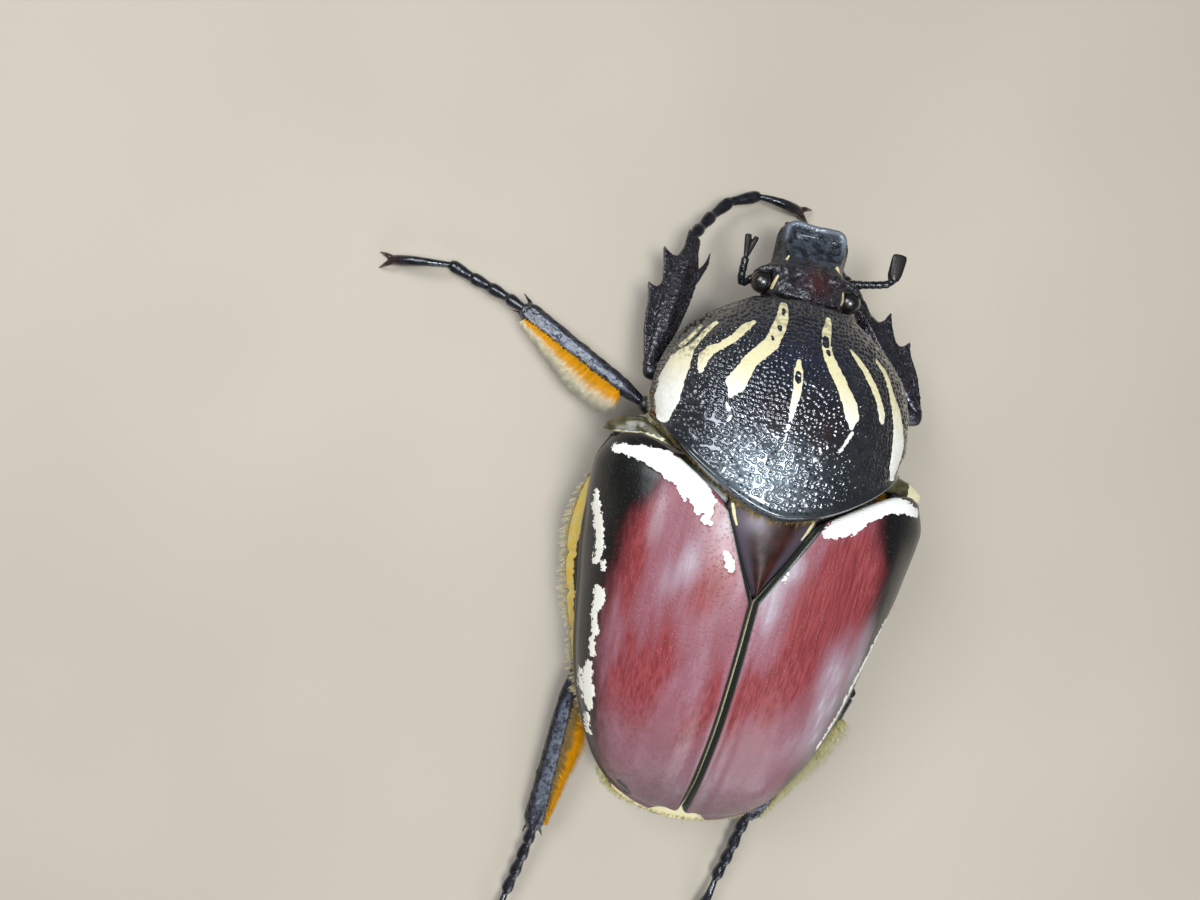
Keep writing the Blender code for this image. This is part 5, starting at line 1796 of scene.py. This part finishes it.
def lights():
    light("key", (-26.0, 18.0, 330.0), 95.0, 0.60, (0.99, 0.99, 0.97))
    light("fill_left", (190.0, -105.0, 275.0), 150.0, 0.62, (0.92, 0.96, 1.0))
    light("fill_rear", (-120.0, 280.0, 150.0), 180.0, 0.30, (0.92, 0.96, 1.0))
    light("sky", (14.0, -14.0, 310.0), 80.0, 0.30, (0.74, 0.89, 1.0))
    world = bpy.data.worlds.new("studio")
    world.use_nodes = True
    world.node_tree.nodes["Background"].inputs["Color"].default_value = (0.84, 0.87, 0.92, 1)
    world.node_tree.nodes["Background"].inputs["Strength"].default_value = 0.16
    bpy.context.scene.world = world
    bpy.context.scene.view_settings.view_transform = "Standard"


def camera():
    data = bpy.data.cameras.new("camera")
    data.lens = CAMERA_LENS
    data.sensor_width = CAMERA_SENSOR
    data.clip_start = 0.005
    obj = bpy.data.objects.new("camera", data)
    place = in_stance(CAMERA_AT)
    axes = Matrix((CAMERA_RIGHT, CAMERA_UP, CAMERA_BACK)).transposed()
    obj.matrix_world = Matrix.Translation(place) @ axes.to_4x4()
    bpy.context.scene.collection.objects.link(obj)
    bpy.context.scene.camera = obj


def shells():
    pronotum(pronotum_finish())
    wine = elytron_finish()
    for word in SIDES:
        elytron(word, wine)
    scutellum(scutellum_finish())
    side_plate = plate_finish("shoulder_cuticle", (0.045, 0.040, 0.018), (0.74, 0.68, 0.44))
    for word in SIDES:
        shoulder(word, side_plate)


def body():
    trunk(trunk_finish())
    prosternum(prosternum_finish())
    pygidium(plate_finish("pygidium_cuticle", (0.012, 0.012, 0.010), (0.70, 0.62, 0.36)))
    head(head_finish())
    lens = eye_finish()
    for word in SIDES:
        eye(word, lens)
    horn = antenna_finish()
    antenna("left", ANTENNA_LEFT, math.radians(-82), (-0.40, -0.06), horn)
    antenna("right", ANTENNA_RIGHT, math.radians(-92), (), horn)


def legs():
    upper = leg_finish("femur_cuticle", (0.90, 0.92, 1.0, 1.0), 0.18, 0.0, 0.3)
    blade = leg_finish("fore_tibia_cuticle", (0.95, 0.90, 1.0, 1.0), 0.14, 0.0, 1.0)
    shank = leg_finish("tibia_cuticle", (0.80, 0.84, 1.0, 1.0), 0.16, 0.0, 0.4)
    foot = leg_finish("tarsus_cuticle", (0.85, 0.93, 1.0, 1.0), 0.10, 0.8, 0.0)
    for name, (hip, knee, apex, joints, end) in LEGS.items():
        femur(name, hip, knee, upper)
        tibia(name, knee, apex, blade if name.startswith("fore") else shank)
        tarsus(name, apex, joints, end, foot)


def coat():
    orange = hair_finish("hair_orange", (0.93, 0.43, 0.01), (1.0, 0.95, 0.74), (0.38, 0.80))
    amber = hair_finish("hair_amber", (0.30, 0.20, 0.07), (0.95, 0.45, 0.0), (0.35, 0.65))
    straw = hair_finish("hair_straw", (0.50, 0.41, 0.20), (0.74, 0.66, 0.45))
    gold = hair_finish("hair_gold", (0.16, 0.10, 0.03), (0.50, 0.36, 0.12))
    cream = hair_finish("hair_cream", (0.62, 0.55, 0.24), (0.80, 0.75, 0.52))
    tibia_fringe("mid_left", 1100, 3.6, 1, orange, 0.15)
    tibia_fringe("mid_right", 600, 3.2, -1, orange, 0.15)
    tibia_fringe("hind_left", 700, 3.3, -1, amber, 0.9)
    tibia_fringe("hind_right", 700, 2.7, 1, cream, 0.7)
    for name in LEGS:
        femur_fringe(name, 170, 1.7, straw)
    for word in SIDES:
        flank_hair(word, 800, straw)
    collar_hair(520, gold)
    pronotum_hair(360, straw)
    rump_hair(400, cream)


floor()
camera()
lights()
shells()
body()
legs()
coat()
